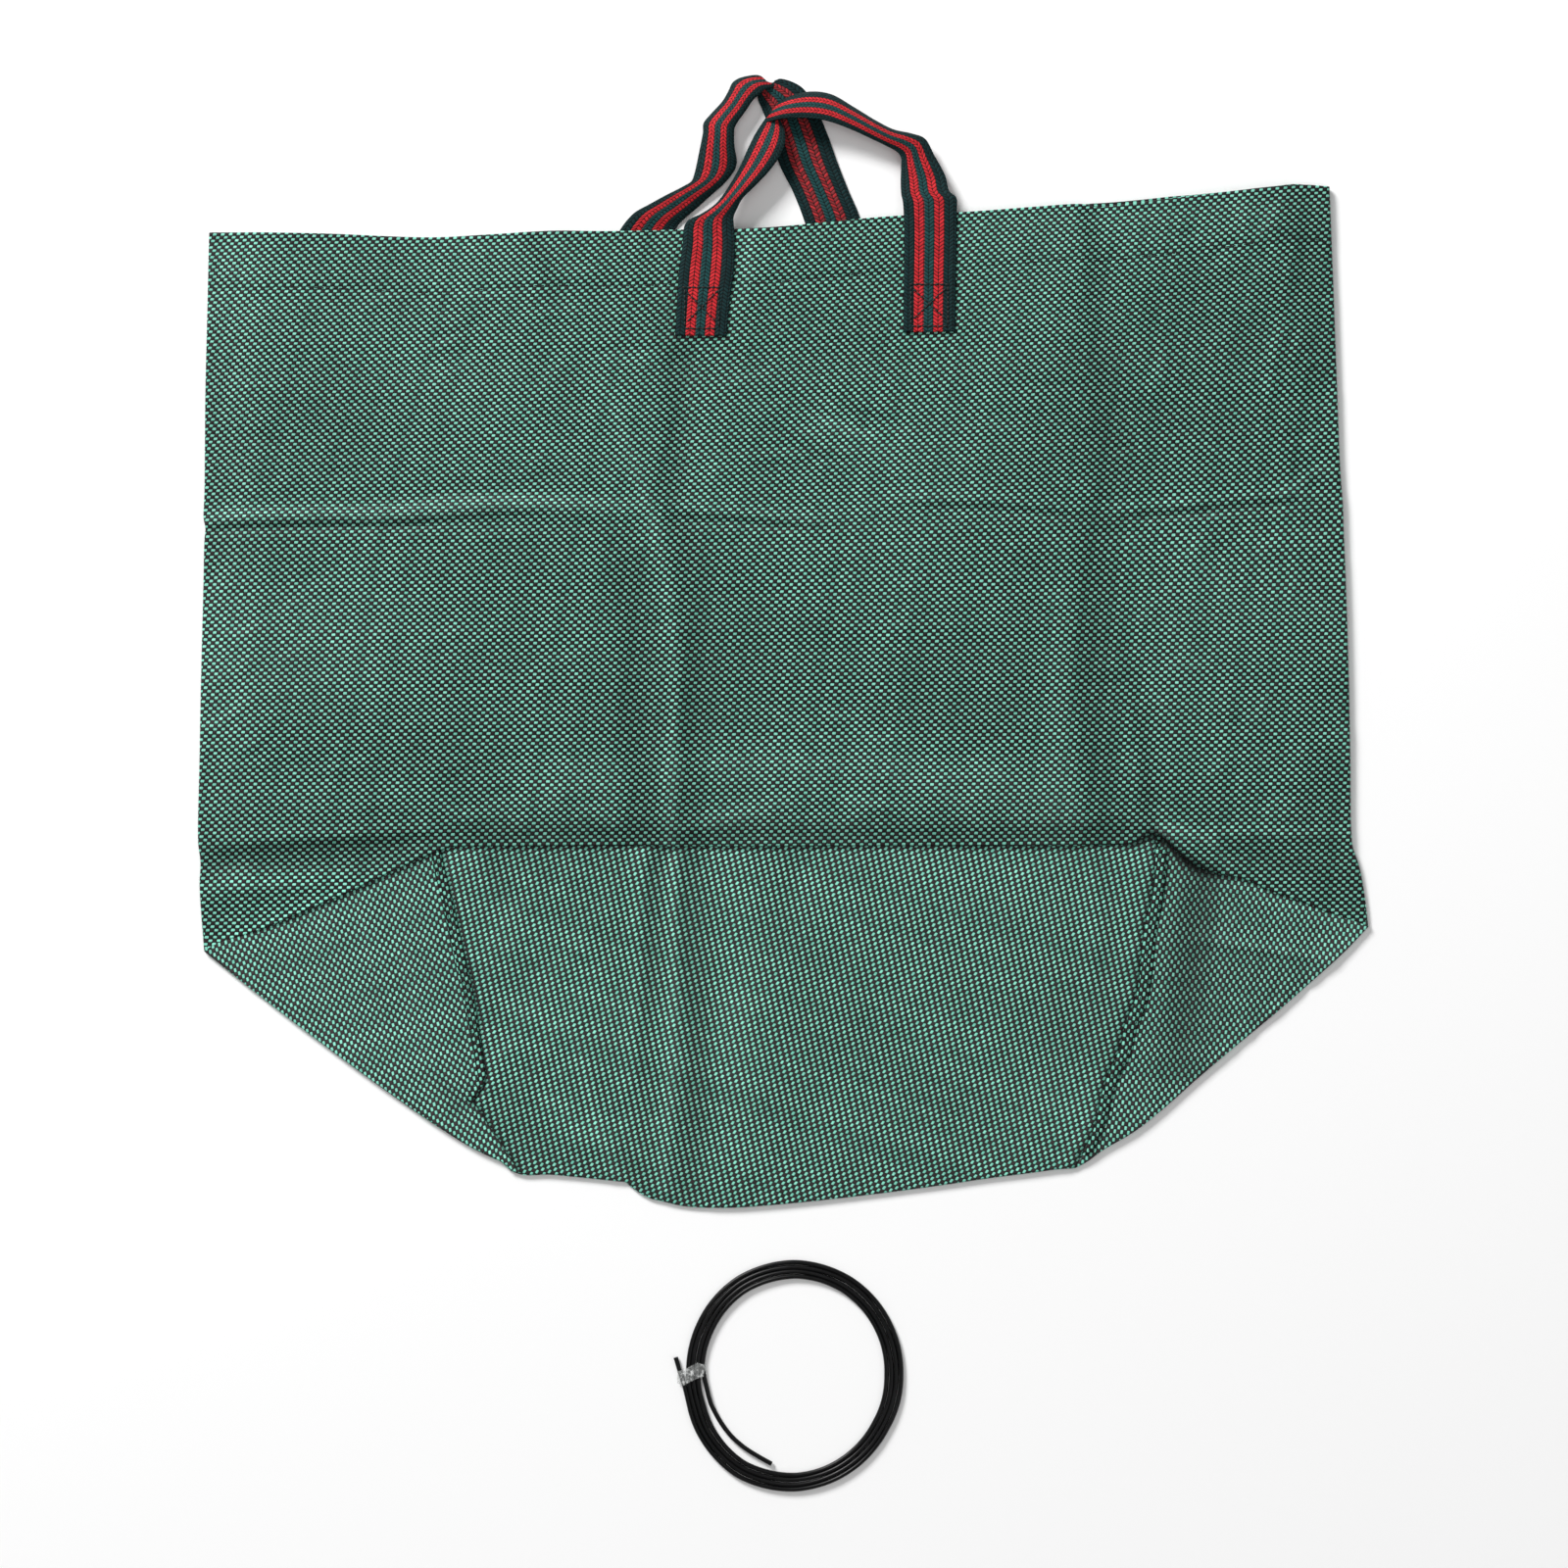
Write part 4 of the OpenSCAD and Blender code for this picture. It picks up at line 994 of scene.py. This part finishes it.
# ------------------------------------------------------------------ sewn seam strips beside the base
def build_strip(name, line, width, side, z_top, weave):
    """A doubled strip of cloth along a seam: line runs down, the strip lies on one side of it."""
    C = catmull(line, 10)
    n = max(30, int(arc_fraction(C).size))
    f = np.linspace(0, 1, 150)
    C = at(C, arc_fraction(C), f)
    wv = np.interp(f, np.linspace(0, 1, len(width)), width)
    prof_s = np.array([-0.02, 0.0, 0.03, 0.10, 0.22, 0.5, 0.78, 0.92, 0.985, 1.0])
    prof_z = np.array([-1.7, -1.1, -0.45, -0.08, 0.05, -0.05, -0.12, -0.40, -0.75, -1.0])
    rng = np.random.default_rng(5)
    jit = np.convolve(rng.normal(0, 1, len(f) + 8), np.ones(9) / 9, "valid")
    rows = []
    for q, dz in zip(prof_s, prof_z):
        O = np.stack([offset_line(C, side * (q * wi))[i] for i, wi in enumerate(wv)])
        rows.append(np.c_[O, np.full(len(f), z_top + dz) + 0.25 * jit * (0.3 + abs(q - 0.5))])
    P = np.stack(rows, 1)
    X, Y = P[..., 0], P[..., 1]
    M = to_m(P)
    W = weave(X, Y)
    if side < 0:
        # strip lies to the right of the line, columns already run left to right
        pass
    if side > 0:
        M, W = M[:, ::-1], W[:, ::-1]
    return shell(name, M, 0.4, M_WALL, {"weave": W})


front = build_front()
under = build_underfold()
back = build_back()
base = build_base()
gl = build_gusset("left")
gr = build_gusset("right")

# y is down the plan: the left of a downward line is +x, so side +1 lies towards +x and -1 towards -x
strip_l = build_strip(
    "seam_strip_left",
    [(447, 858), (452, 885), (461, 919), (468, 952), (474, 978), (480, 1004), (487, 1045), (491.7, 1080), (494.2, 1097), (492.5, 1106), (485.5, 1117), (478.5, 1125)],
    [10, 10, 10, 10, 9.5, 9, 9, 8, 7, 5],
    -1,
    4.75,
    lambda X, Y: weave_dir(X, Y, (300, 1000), 4.1, 16, 3.5, -80),
)
strip_r = build_strip(
    "seam_strip_right",
    [(1180.5, 866), (1180, 879), (1176, 917), (1169, 946), (1166, 975), (1162.6, 1006), (1157, 1028), (1149, 1046), (1143.6, 1071), (1133.6, 1093), (1125.8, 1115.6), (1121, 1140), (1113.5, 1162), (1106, 1176)],
    [9, 11, 12, 12, 12, 12, 11, 9, 6],
    1,
    4.75,
    lambda X, Y: weave_dir(X, Y, (1300, 1000), 4.3, -4, 3.44, 82),
)


# ------------------------------------------------------------------ hem turned inward, front and back
def build_hem(name, mouth, zc, r, sign, zflat):
    xs = np.linspace(222, 1350, 200)
    ym = np.interp(xs, mouth[:, 0], mouth[:, 1])
    phi = np.linspace(0, math.pi / 2, 5)
    rows = []
    rr = r / U
    for p in phi:
        rows.append(np.stack([xs, ym + rr - rr * math.cos(p), np.full_like(xs, zc) - sign * r * math.sin(p)], -1))
    for q in np.linspace(1.5, 55.0, 22)[1:]:
        rows.append(np.stack([xs, ym + rr + q, np.full_like(xs, zflat) + 0.0 * xs], -1))
    P = np.stack(rows, 0)
    if sign > 0:
        # stays under the front wall's own surface
        Zf = z_front(P[..., 0], P[..., 1])
        P[..., 2] = np.minimum(P[..., 2], Zf - 0.62)
    W = weave_wall(P[..., 0], 2 * ym[None] - P[..., 1])
    M = to_m(P)
    if sign > 0:
        M, W = M[:, ::-1], W[:, ::-1]
    return shell(name, M, 0.4, M_WALL, {"weave": W})


zf_mouth = z_front(np.linspace(222, 1350, 200), np.interp(np.linspace(222, 1350, 200), MOUTH[:, 0], MOUTH[:, 1]))
hem_f = build_hem("hem_front", MOUTH, Z_FRONT - 0.62, 0.5, 1, Z_FRONT - 1.3)
hem_b = build_hem("hem_back", MOUTH_BACK, Z_BACK + 0.65, 0.5, -1, Z_BACK + 1.35)


# ------------------------------------------------------------------ webbing
def ribbon(name, stations, mats, split=None, per=9, z_min=None):
    """One length of webbing through stations (left edge x y z, right edge x y z, lift of the middle in mm)."""
    st = np.asarray(stations, float)
    C = catmull(st, per)
    mid = np.stack([(C[:, 0] + C[:, 3]) / 2 * U, -(C[:, 1] + C[:, 4]) / 2 * U, (C[:, 2] + C[:, 5]) / 2], -1)
    d = np.r_[0, np.cumsum(np.linalg.norm(np.diff(mid, axis=0), axis=1))]
    n = int(d[-1] / 1.15)
    f = np.linspace(0, d[-1], n)
    C = at(C, d, f)
    m = 27
    s = 0.5 - 0.5 * np.cos(np.linspace(0, math.pi, m)) ** 1 if False else None
    q = np.linspace(-1, 1, m)
    s = 0.5 + 0.5 * np.sign(q) * np.abs(q) ** 0.86
    A, B = C[:, None, 0:3], C[:, None, 3:6]
    P = A + (B - A) * s[None, :, None]
    P[..., 2] += C[:, None, 6] * (1 - (2 * s[None] - 1) ** 2)
    if z_min is not None:
        P[..., 2] = np.maximum(P[..., 2], z_min)
    web = np.zeros(P.shape)
    web[..., 0] = s[None]
    web[..., 1] = f[:, None]
    thick = 1.2 * (1 - 0.5 * np.abs(2 * s - 1) ** 12)[None] * np.ones((n, 1))
    ob = shell(name, to_m(P), thick, mats, {"web": web})
    if split is not None:
        # split is the station where the reverse face comes up
        frac = np.interp(split * per, np.arange(len(d)), d) / d[-1]
        row = int(frac * n)
        idx = np.zeros(len(ob.data.polygons), np.int32)
        k = (n - 1) * (m - 1)
        r_ = np.repeat(np.arange(n - 1), m - 1)
        idx[:k] = r_ >= row
        idx[k : 2 * k] = r_ >= row
        ob.data.polygons.foreach_set("material_index", idx)
    return ob, float(d[-1])


ZT = Z_FRONT + 0.45 + 0.75
front_st = [
    (689.0, 343.0, ZT, 741.5, 343.5, ZT, 0),
    (691.0, 309.0, ZT, 744.7, 309.0, ZT, 0),
    (693.0, 277.0, ZT, 749.0, 277.0, ZT, 0.05),
    (697.0, 248.0, ZT, 750.0, 248.0, ZT, 0.1),
    (698.0, 233.0, 12.6, 749.0, 232.0, 12.6, 0.3),
    (702.0, 226.0, 12.8, 748.5, 223.0, 12.8, 0.9),
    (715.0, 219.5, 11.5, 752.0, 214.0, 13.0, 2.6),
    (731.0, 208.0, 9.2, 757.5, 203.5, 13.6, 4.0),
    (744.0, 190.0, 7.0, 768.0, 193.0, 14.0, 4.4),
    (756.0, 168.0, 5.4, 784.5, 176.0, 14.0, 4.2),
    (764.0, 150.0, 5.0, 796.0, 160.0, 13.4, 3.6),
    (771.0, 136.0, 5.0, 801.0, 146.0, 11.6, 2.8),
    (778.0, 125.0, 5.0, 800.5, 133.0, 8.0, 1.6),
    (783.0, 118.0, 5.0, 796.5, 122.5, 5.6, 0.6),
    (780.5, 124.0, 5.4, 793.0, 107.0, 5.4, 0.6),
    (799.0, 122.3, 13.6, 805.0, 98.8, 7.0, 3.4),
    (822.0, 122.4, 16.2, 827.0, 93.8, 8.0, 3.2),
    (843.0, 125.0, 16.4, 848.0, 96.5, 8.0, 3.2),
    (867.0, 133.0, 15.4, 871.0, 109.5, 8.0, 3.8),
    (889.0, 142.5, 13.4, 894.0, 123.5, 8.0, 4.2),
    (903.5, 149.0, 11.4, 912.0, 132.5, 8.0, 4.0),
    (915.0, 155.0, 9.8, 930.0, 136.5, 8.0, 3.4),
    (919.5, 161.0, 9.0, 943.5, 141.5, 8.0, 2.6),
    (919.5, 171.0, 9.0, 953.0, 158.0, 8.2, 1.8),
    (919.0, 186.0, 10.2, 964.5, 180.0, 9.4, 1.0),
    (919.5, 199.0, 12.0, 968.5, 196.0, 11.9, 0.4),
    (921.0, 206.5, 12.9, 975.5, 202.5, 12.9, 0.2),
    (922.0, 220.0, 12.6, 976.0, 218.0, 12.6, 0.2),
    (922.5, 240.0, ZT, 976.0, 240.0, ZT, 0.1),
    (922.0, 290.0, ZT, 975.0, 290.0, ZT, 0),
    (921.5, 339.5, ZT, 974.5, 339.0, ZT, 0),
]
back_st = [
    (612.0, 343.0, 0.75, 662.0, 343.0, 0.75, 0),
    (621.0, 290.0, 0.75, 671.0, 290.0, 0.75, 0),
    (628.0, 248.0, 0.80, 683.0, 246.0, 0.80, 0),
    (632.0, 234.0, 0.95, 690.0, 231.0, 0.95, 0.3),
    (645.5, 217.5, 2.3, 697.0, 223.0, 1.3, 1.6),
    (663.0, 207.5, 4.0, 712.0, 210.0, 1.6, 2.2),
    (680.0, 198.5, 5.0, 726.0, 197.5, 2.2, 2.4),
    (696.0, 190.5, 5.5, 738.0, 187.0, 2.7, 2.2),
    (705.5, 184.5, 5.5, 747.0, 176.5, 3.2, 1.8),
    (708.5, 177.0, 5.0, 751.0, 169.0, 4.0, 1.6),
    (711.5, 164.0, 4.5, 751.5, 161.0, 5.5, 1.6),
    (715.0, 147.0, 4.0, 749.5, 150.0, 7.6, 2.2),
    (717.5, 134.0, 3.6, 749.0, 139.0, 8.6, 3.0),
    (718.0, 125.0, 3.5, 749.5, 131.0, 8.8, 3.2),
    (726.0, 115.0, 3.5, 753.0, 124.0, 8.8, 3.4),
    (737.0, 103.0, 3.5, 761.0, 113.0, 8.8, 3.4),
    (743.5, 92.0, 3.5, 768.5, 102.0, 8.4, 3.2),
    (748.0, 83.0, 3.5, 775.0, 96.0, 7.8, 2.8),
    (758.0, 77.8, 3.2, 781.0, 90.5, 6.0, 2.0),
    (776.0, 76.8, 2.2, 789.5, 88.0, 2.6, 0.8),
    (773.0, 97.0, 1.9, 795.0, 79.0, 1.9, 0.5),
    (778.0, 111.0, 1.3, 818.0, 87.5, 1.3, 0.7),
    (783.0, 124.0, 1.2, 834.0, 112.0, 1.2, 0.7),
    (789.0, 145.0, 1.1, 845.0, 137.0, 1.1, 0.6),
    (796.0, 168.0, 1.1, 854.0, 163.0, 1.1, 0.7),
    (809.0, 194.0, 1.1, 865.0, 191.0, 1.1, 0.5),
    (822.0, 228.0, 0.95, 878.0, 223.5, 0.95, 0.2),
    (827.0, 250.0, 0.80, 880.0, 248.0, 0.80, 0),
    (832.0, 290.0, 0.75, 884.0, 290.0, 0.75, 0),
    (838.0, 343.0, 0.75, 888.0, 343.0, 0.75, 0),
]
web_f, web_f_len = ribbon("webbing_front", front_st, [M_WEB])
web_b, web_b_len = ribbon("webbing_back", back_st, [M_WEB, M_WEB_BACK], split=19.5, z_min=0.72)


# ------------------------------------------------------------------ stitching
def plan_line(pts, zfn, n=None):
    C = catmull(pts, 12)
    f = arc_fraction(C)
    k = n or int(np.linalg.norm(np.diff(C, axis=0), axis=1).sum() / 2.0)
    Q = at(C, f, np.linspace(0, 1, max(k, 4)))
    return to_m(np.c_[Q, zfn(Q[:, 0], Q[:, 1])])


def hem_points(x0, x1, n):
    xs = np.linspace(x0, x1, n)
    ys = np.interp(xs, MOUTH[:, 0], MOUTH[:, 1])
    k = np.ones(9) / 9
    ys = np.convolve(np.pad(ys, 4, mode="edge"), k, "valid")
    return xs, ys + 55.5 + 0.5 * np.sin(xs / 31.0)


runs = []
for x0, x1 in ((215, 688), (752, 918), (979, 1360)):
    xs, ys = hem_points(x0, x1, 160)
    runs += stitches(to_m(np.c_[xs, ys, z_front(xs, ys) + 0.22]), 3.1, 0.7, 0.10, 0.30)
hem_thread = tubes("hem_stitching", runs, 0.36, M_THREAD)
runs = []
xs, ys = hem_points(222, 1350, 300)
runs += stitches(to_m(np.c_[xs, ys, np.full_like(xs, Z_BACK - 0.25)]), 3.1, 0.7, -0.1, -0.25)
hem_thread_b = tubes("hem_stitching_back", runs, 0.25, M_THREAD)

box_runs = []
for lines in (
    [((696, 294), (735.5, 294)), ((701.4, 299.4), (730.6, 329)), ((732.8, 297), (701.4, 329)), ((699, 336), (731, 336)), ((699, 296), (699, 334)), ((733.5, 296), (733.5, 334))],
    [((927, 291), (969, 291)), ((932, 296), (964.5, 326)), ((965, 295), (932, 326)), ((930, 333.5), (967, 333.5)), ((929.5, 293), (929.5, 332)), ((967, 293), (967, 332))],
):
    for a, b in lines:
        box_runs += stitches(to_m(np.array([(*a, ZT + 0.74), (*b, ZT + 0.74)])), 2.7, 0.25, 0.06, 0.22)
box_f = tubes("box_stitching_front", box_runs, 0.55, M_THREAD)
box_runs = []
for cx, cy in ((641, 314), (861, 312)):
    q = [(cx - 16, cy - 20), (cx + 16, cy - 20), (cx + 16, cy + 20), (cx - 16, cy + 20)]
    for a, b in [(q[0], q[1]), (q[1], q[2]), (q[2], q[3]), (q[3], q[0]), (q[0], q[2]), (q[1], q[3])]:
        box_runs += stitches(to_m(np.array([(*a, 0.26), (*b, 0.26)])), 2.5, 0.45, -0.04, -0.2)
box_b = tubes("box_stitching_back", box_runs, 0.22, M_THREAD)


def strip_line(line, off, side):
    C = catmull(line, 10)
    return offset_line(C, side * off)


SL = [(447, 866), (452, 885), (461, 919), (468, 952), (474, 978), (480, 1004), (487, 1045), (491.7, 1080), (493.4, 1094)]
SR = [(1180.5, 872), (1180, 879), (1176, 917), (1169, 946), (1166, 975), (1162.6, 1006), (1157, 1028), (1149, 1046), (1143.6, 1071), (1133.6, 1093), (1125.8, 1115.6), (1121, 1140), (1113.5, 1162), (1107, 1174)]
seam_runs = []
for line, side, offs in ((SL, -1, (3.2, 7.2)), (SR, 1, (3.6, 9.0))):
    for o in offs:
        Q = strip_line(line, o, side)
        w = np.full(len(Q), 4.75 + 0.28)
        if side > 0 and o > 8:
            w[-28:] = np.linspace(5.0, 4.2, 28)
        seam_runs += stitches(to_m(np.c_[Q, w]), 2.6, 0.8, 0.05, 0.3)


def base_height(X, Y):
    return Z_BASE + base_wrinkles(X, Y) * 0.85 - 1.0


for o in (0.0, 6.5):
    Q = strip_line([(487, 1130), (503, 1157), (516.5, 1178), (528, 1193)], o, -1 if o else 1)
    seam_runs += stitches(to_m(np.c_[Q, np.full(len(Q), 3.35 if not o else 3.5)]), 2.6, 0.8, 0.12, 0.2)
seam_thread = tubes("base_seam_stitching", seam_runs, 0.24, M_THREAD)


# ------------------------------------------------------------------ tape round the coil
def build_tape():
    m = 96
    xs = np.linspace(691.0, 720.9, m)
    tx = [691, 695.4, 697.5, 699.8, 704, 708, 712, 717, 721]
    t_y = [1400.2, 1399.2, 1401.0, 1397.6, 1395.3, 1393.2, 1391.6, 1393.2, 1392.6]
    b_y = [1412.5, 1414.6, 1414.8, 1413.4, 1411.2, 1409.2, 1407.4, 1406.0, 1404.8]
    rng = np.random.default_rng(2)
    yt = np.interp(xs, tx, t_y) + 0.35 * np.convolve(rng.normal(0, 1, m + 2), np.ones(3) / 3, "valid")
    yb = np.interp(xs, tx, b_y) + 0.15 * np.convolve(rng.normal(0, 1, m + 2), np.ones(3) / 3, "valid")
    r = ROD * 500
    rows_t, rows_b = [], []
    nrow = 15
    wr = rng.normal(0, 1, (nrow + 4, m + 4))
    ker = np.ones(5) / 5
    wr = np.apply_along_axis(lambda v: np.convolve(v, ker, "valid"), 0, wr)
    wr = np.apply_along_axis(lambda v: np.convolve(v, ker, "valid"), 1, wr)
    for i in range(nrow):
        f = i / (nrow - 1)
        y = yt + (yb - yt) * f
        # strands under the film at this row
        x_end = np.interp(y, [1386, 1400, 1416], [689.3, 693.5, 698.4])
        lift = np.zeros(m)
        z = np.zeros(m)
        strands = [x_end] + [702.25 + 4.86 * k + 0.0 * y for k in range(4)]
        for c in strands:
            dx = (xs - c) * U
            z = np.maximum(z, np.where(np.abs(dx) < r, np.sqrt(np.clip(r * r - dx * dx, 0, None)), 0))
        inside = (xs > 701.2) & (xs < 718.4)
        z = np.where(inside, np.maximum(z, 0.62 * r), z)
        k3 = np.array([0.25, 0.5, 0.25])
        z = np.maximum(z, np.convolve(np.pad(z, 1, mode="edge"), k3, "valid"))
        z = z + 0.16
        z[0] = z[-1] = 0.02
        ztop = ROD_Z + z + 0.10 * wr[i] * (z > 0.3)
        zbot = np.maximum(ROD_Z - z, 0.12)
        rows_t.append(np.c_[xs, y, ztop])
        rows_b.append(np.c_[xs, y, zbot])
    T, B = np.stack(rows_t), np.stack(rows_b)
    loop = np.concatenate([T, B[:, ::-1][:, 1:-1]], 1)
    P = to_m(loop)
    n, mm, _ = P.shape
    du = np.roll(P, -1, 1) - np.roll(P, 1, 1)
    dv = np.gradient(P, axis=0)
    N = np.cross(du, -dv)
    N /= np.maximum(np.linalg.norm(N, axis=-1, keepdims=True), 1e-12)
    th = 0.00006
    V = np.concatenate([(P + N * th).reshape(-1, 3), (P - N * th).reshape(-1, 3)])
    k = n * mm
    i, j = np.meshgrid(np.arange(n - 1), np.arange(mm), indexing="ij")
    a, b = i * mm + j, i * mm + (j + 1) % mm
    F1 = np.stack([a, a + mm, b + mm, b], -1).reshape(-1, 4)
    F2 = F1[:, ::-1] + k
    j = np.arange(mm)
    j2 = (j + 1) % mm
    R1 = np.stack([j, j2, j2 + k, j + k], -1)
    e = (n - 1) * mm
    R2 = np.stack([e + j2, e + j, e + j + k, e + j2 + k], -1)
    return obj_from("coil_tape_wrap", V, np.concatenate([F1, F2, R1, R2]), M_TAPE, True)


tape = build_tape()
rod.data.materials.append(M_ROD)

# ------------------------------------------------------------------ what follows what
for ob in (front, under, back, base, gl, gr, strip_l, strip_r, seam_thread):
    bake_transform(ob)
for ob in (hem_f, hem_b, hem_thread, hem_thread_b, box_f, box_b):
    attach(ob, "bag_wall")


def across(pos, axis, half):
    d = Vector((-axis[1], axis[0], 0)).normalized()
    p = Vector(pos)
    return tuple(p - d * half), tuple(p + d * half)


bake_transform(web_f)
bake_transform(web_b)
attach(rod, "hoop_coil")
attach(tape, "hoop_coil")

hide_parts("wall_front", "wall_fold_edge", "side_fold_left", "side_fold_right", "wall_corner_left", "wall_corner_right")
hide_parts("wall_underfold")
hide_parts("wall_back", "wall_back_lower")
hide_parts("base_panel_upper", "base_panel_lower")
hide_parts("gusset_left")
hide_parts("gusset_right")
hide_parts("base_seam_left")
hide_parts("base_seam_right")
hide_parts("base_seam_thread")
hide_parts("hem_turnover_front")
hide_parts("hem_turnover_back")
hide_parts("hem_thread_front")
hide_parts("front_tail_left", "front_tail_right", "front_handle_loop")
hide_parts("back_tail_left", "back_tail_right", "back_handle_loop")
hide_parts("tail_stitching_front")
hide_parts("tail_stitching_back")
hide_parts("hoop_rod_coil", "hoop_rod_outer_end", "hoop_rod_inner_end")
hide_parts("coil_tape")

# ------------------------------------------------------------------ floor and light
bpy.ops.mesh.primitive_plane_add(size=9.0, location=(0, -0.1, -0.0002))
floor = bpy.context.object
floor.name = "floor"
fm, fnt, fb = new_mat("pale_floor")
fb.inputs["Base Color"].default_value = (0.92, 0.92, 0.92, 1)
fb.inputs["Roughness"].default_value = 0.85
fb.inputs["Specular IOR Level"].default_value = 0.15
floor.data.materials.append(fm)


def area_light(name, loc, target, size, power, color=(1, 1, 1)):
    ld = bpy.data.lights.new(name, "AREA")
    ld.shape = "SQUARE"
    ld.size = size
    ld.energy = power
    ld.color = color
    lo = bpy.data.objects.new(name, ld)
    lo.location = loc
    d = Vector(target) - Vector(loc)
    lo.rotation_euler = d.to_track_quat("-Z", "Y").to_euler()
    lo.visible_camera = False
    bpy.context.scene.collection.objects.link(lo)
    return lo


area_light("key", (-2.4, 3.3, 2.7), (0, -0.05, 0), 1.5, 300)
area_light("fill", (1.7, -1.0, 1.9), (0, -0.1, 0), 1.6, 6)
top = area_light("top", (0.0, -0.1, 4.2), (0, -0.1, 0), 3.2, 48)
top.visible_glossy = False
world = bpy.data.worlds.new("world")
world.use_nodes = True
world.node_tree.nodes["Background"].inputs[0].default_value = (1, 1, 1, 1)
world.node_tree.nodes["Background"].inputs[1].default_value = 0.20
bpy.context.scene.world = world
bpy.context.scene.view_settings.view_transform = "Standard"
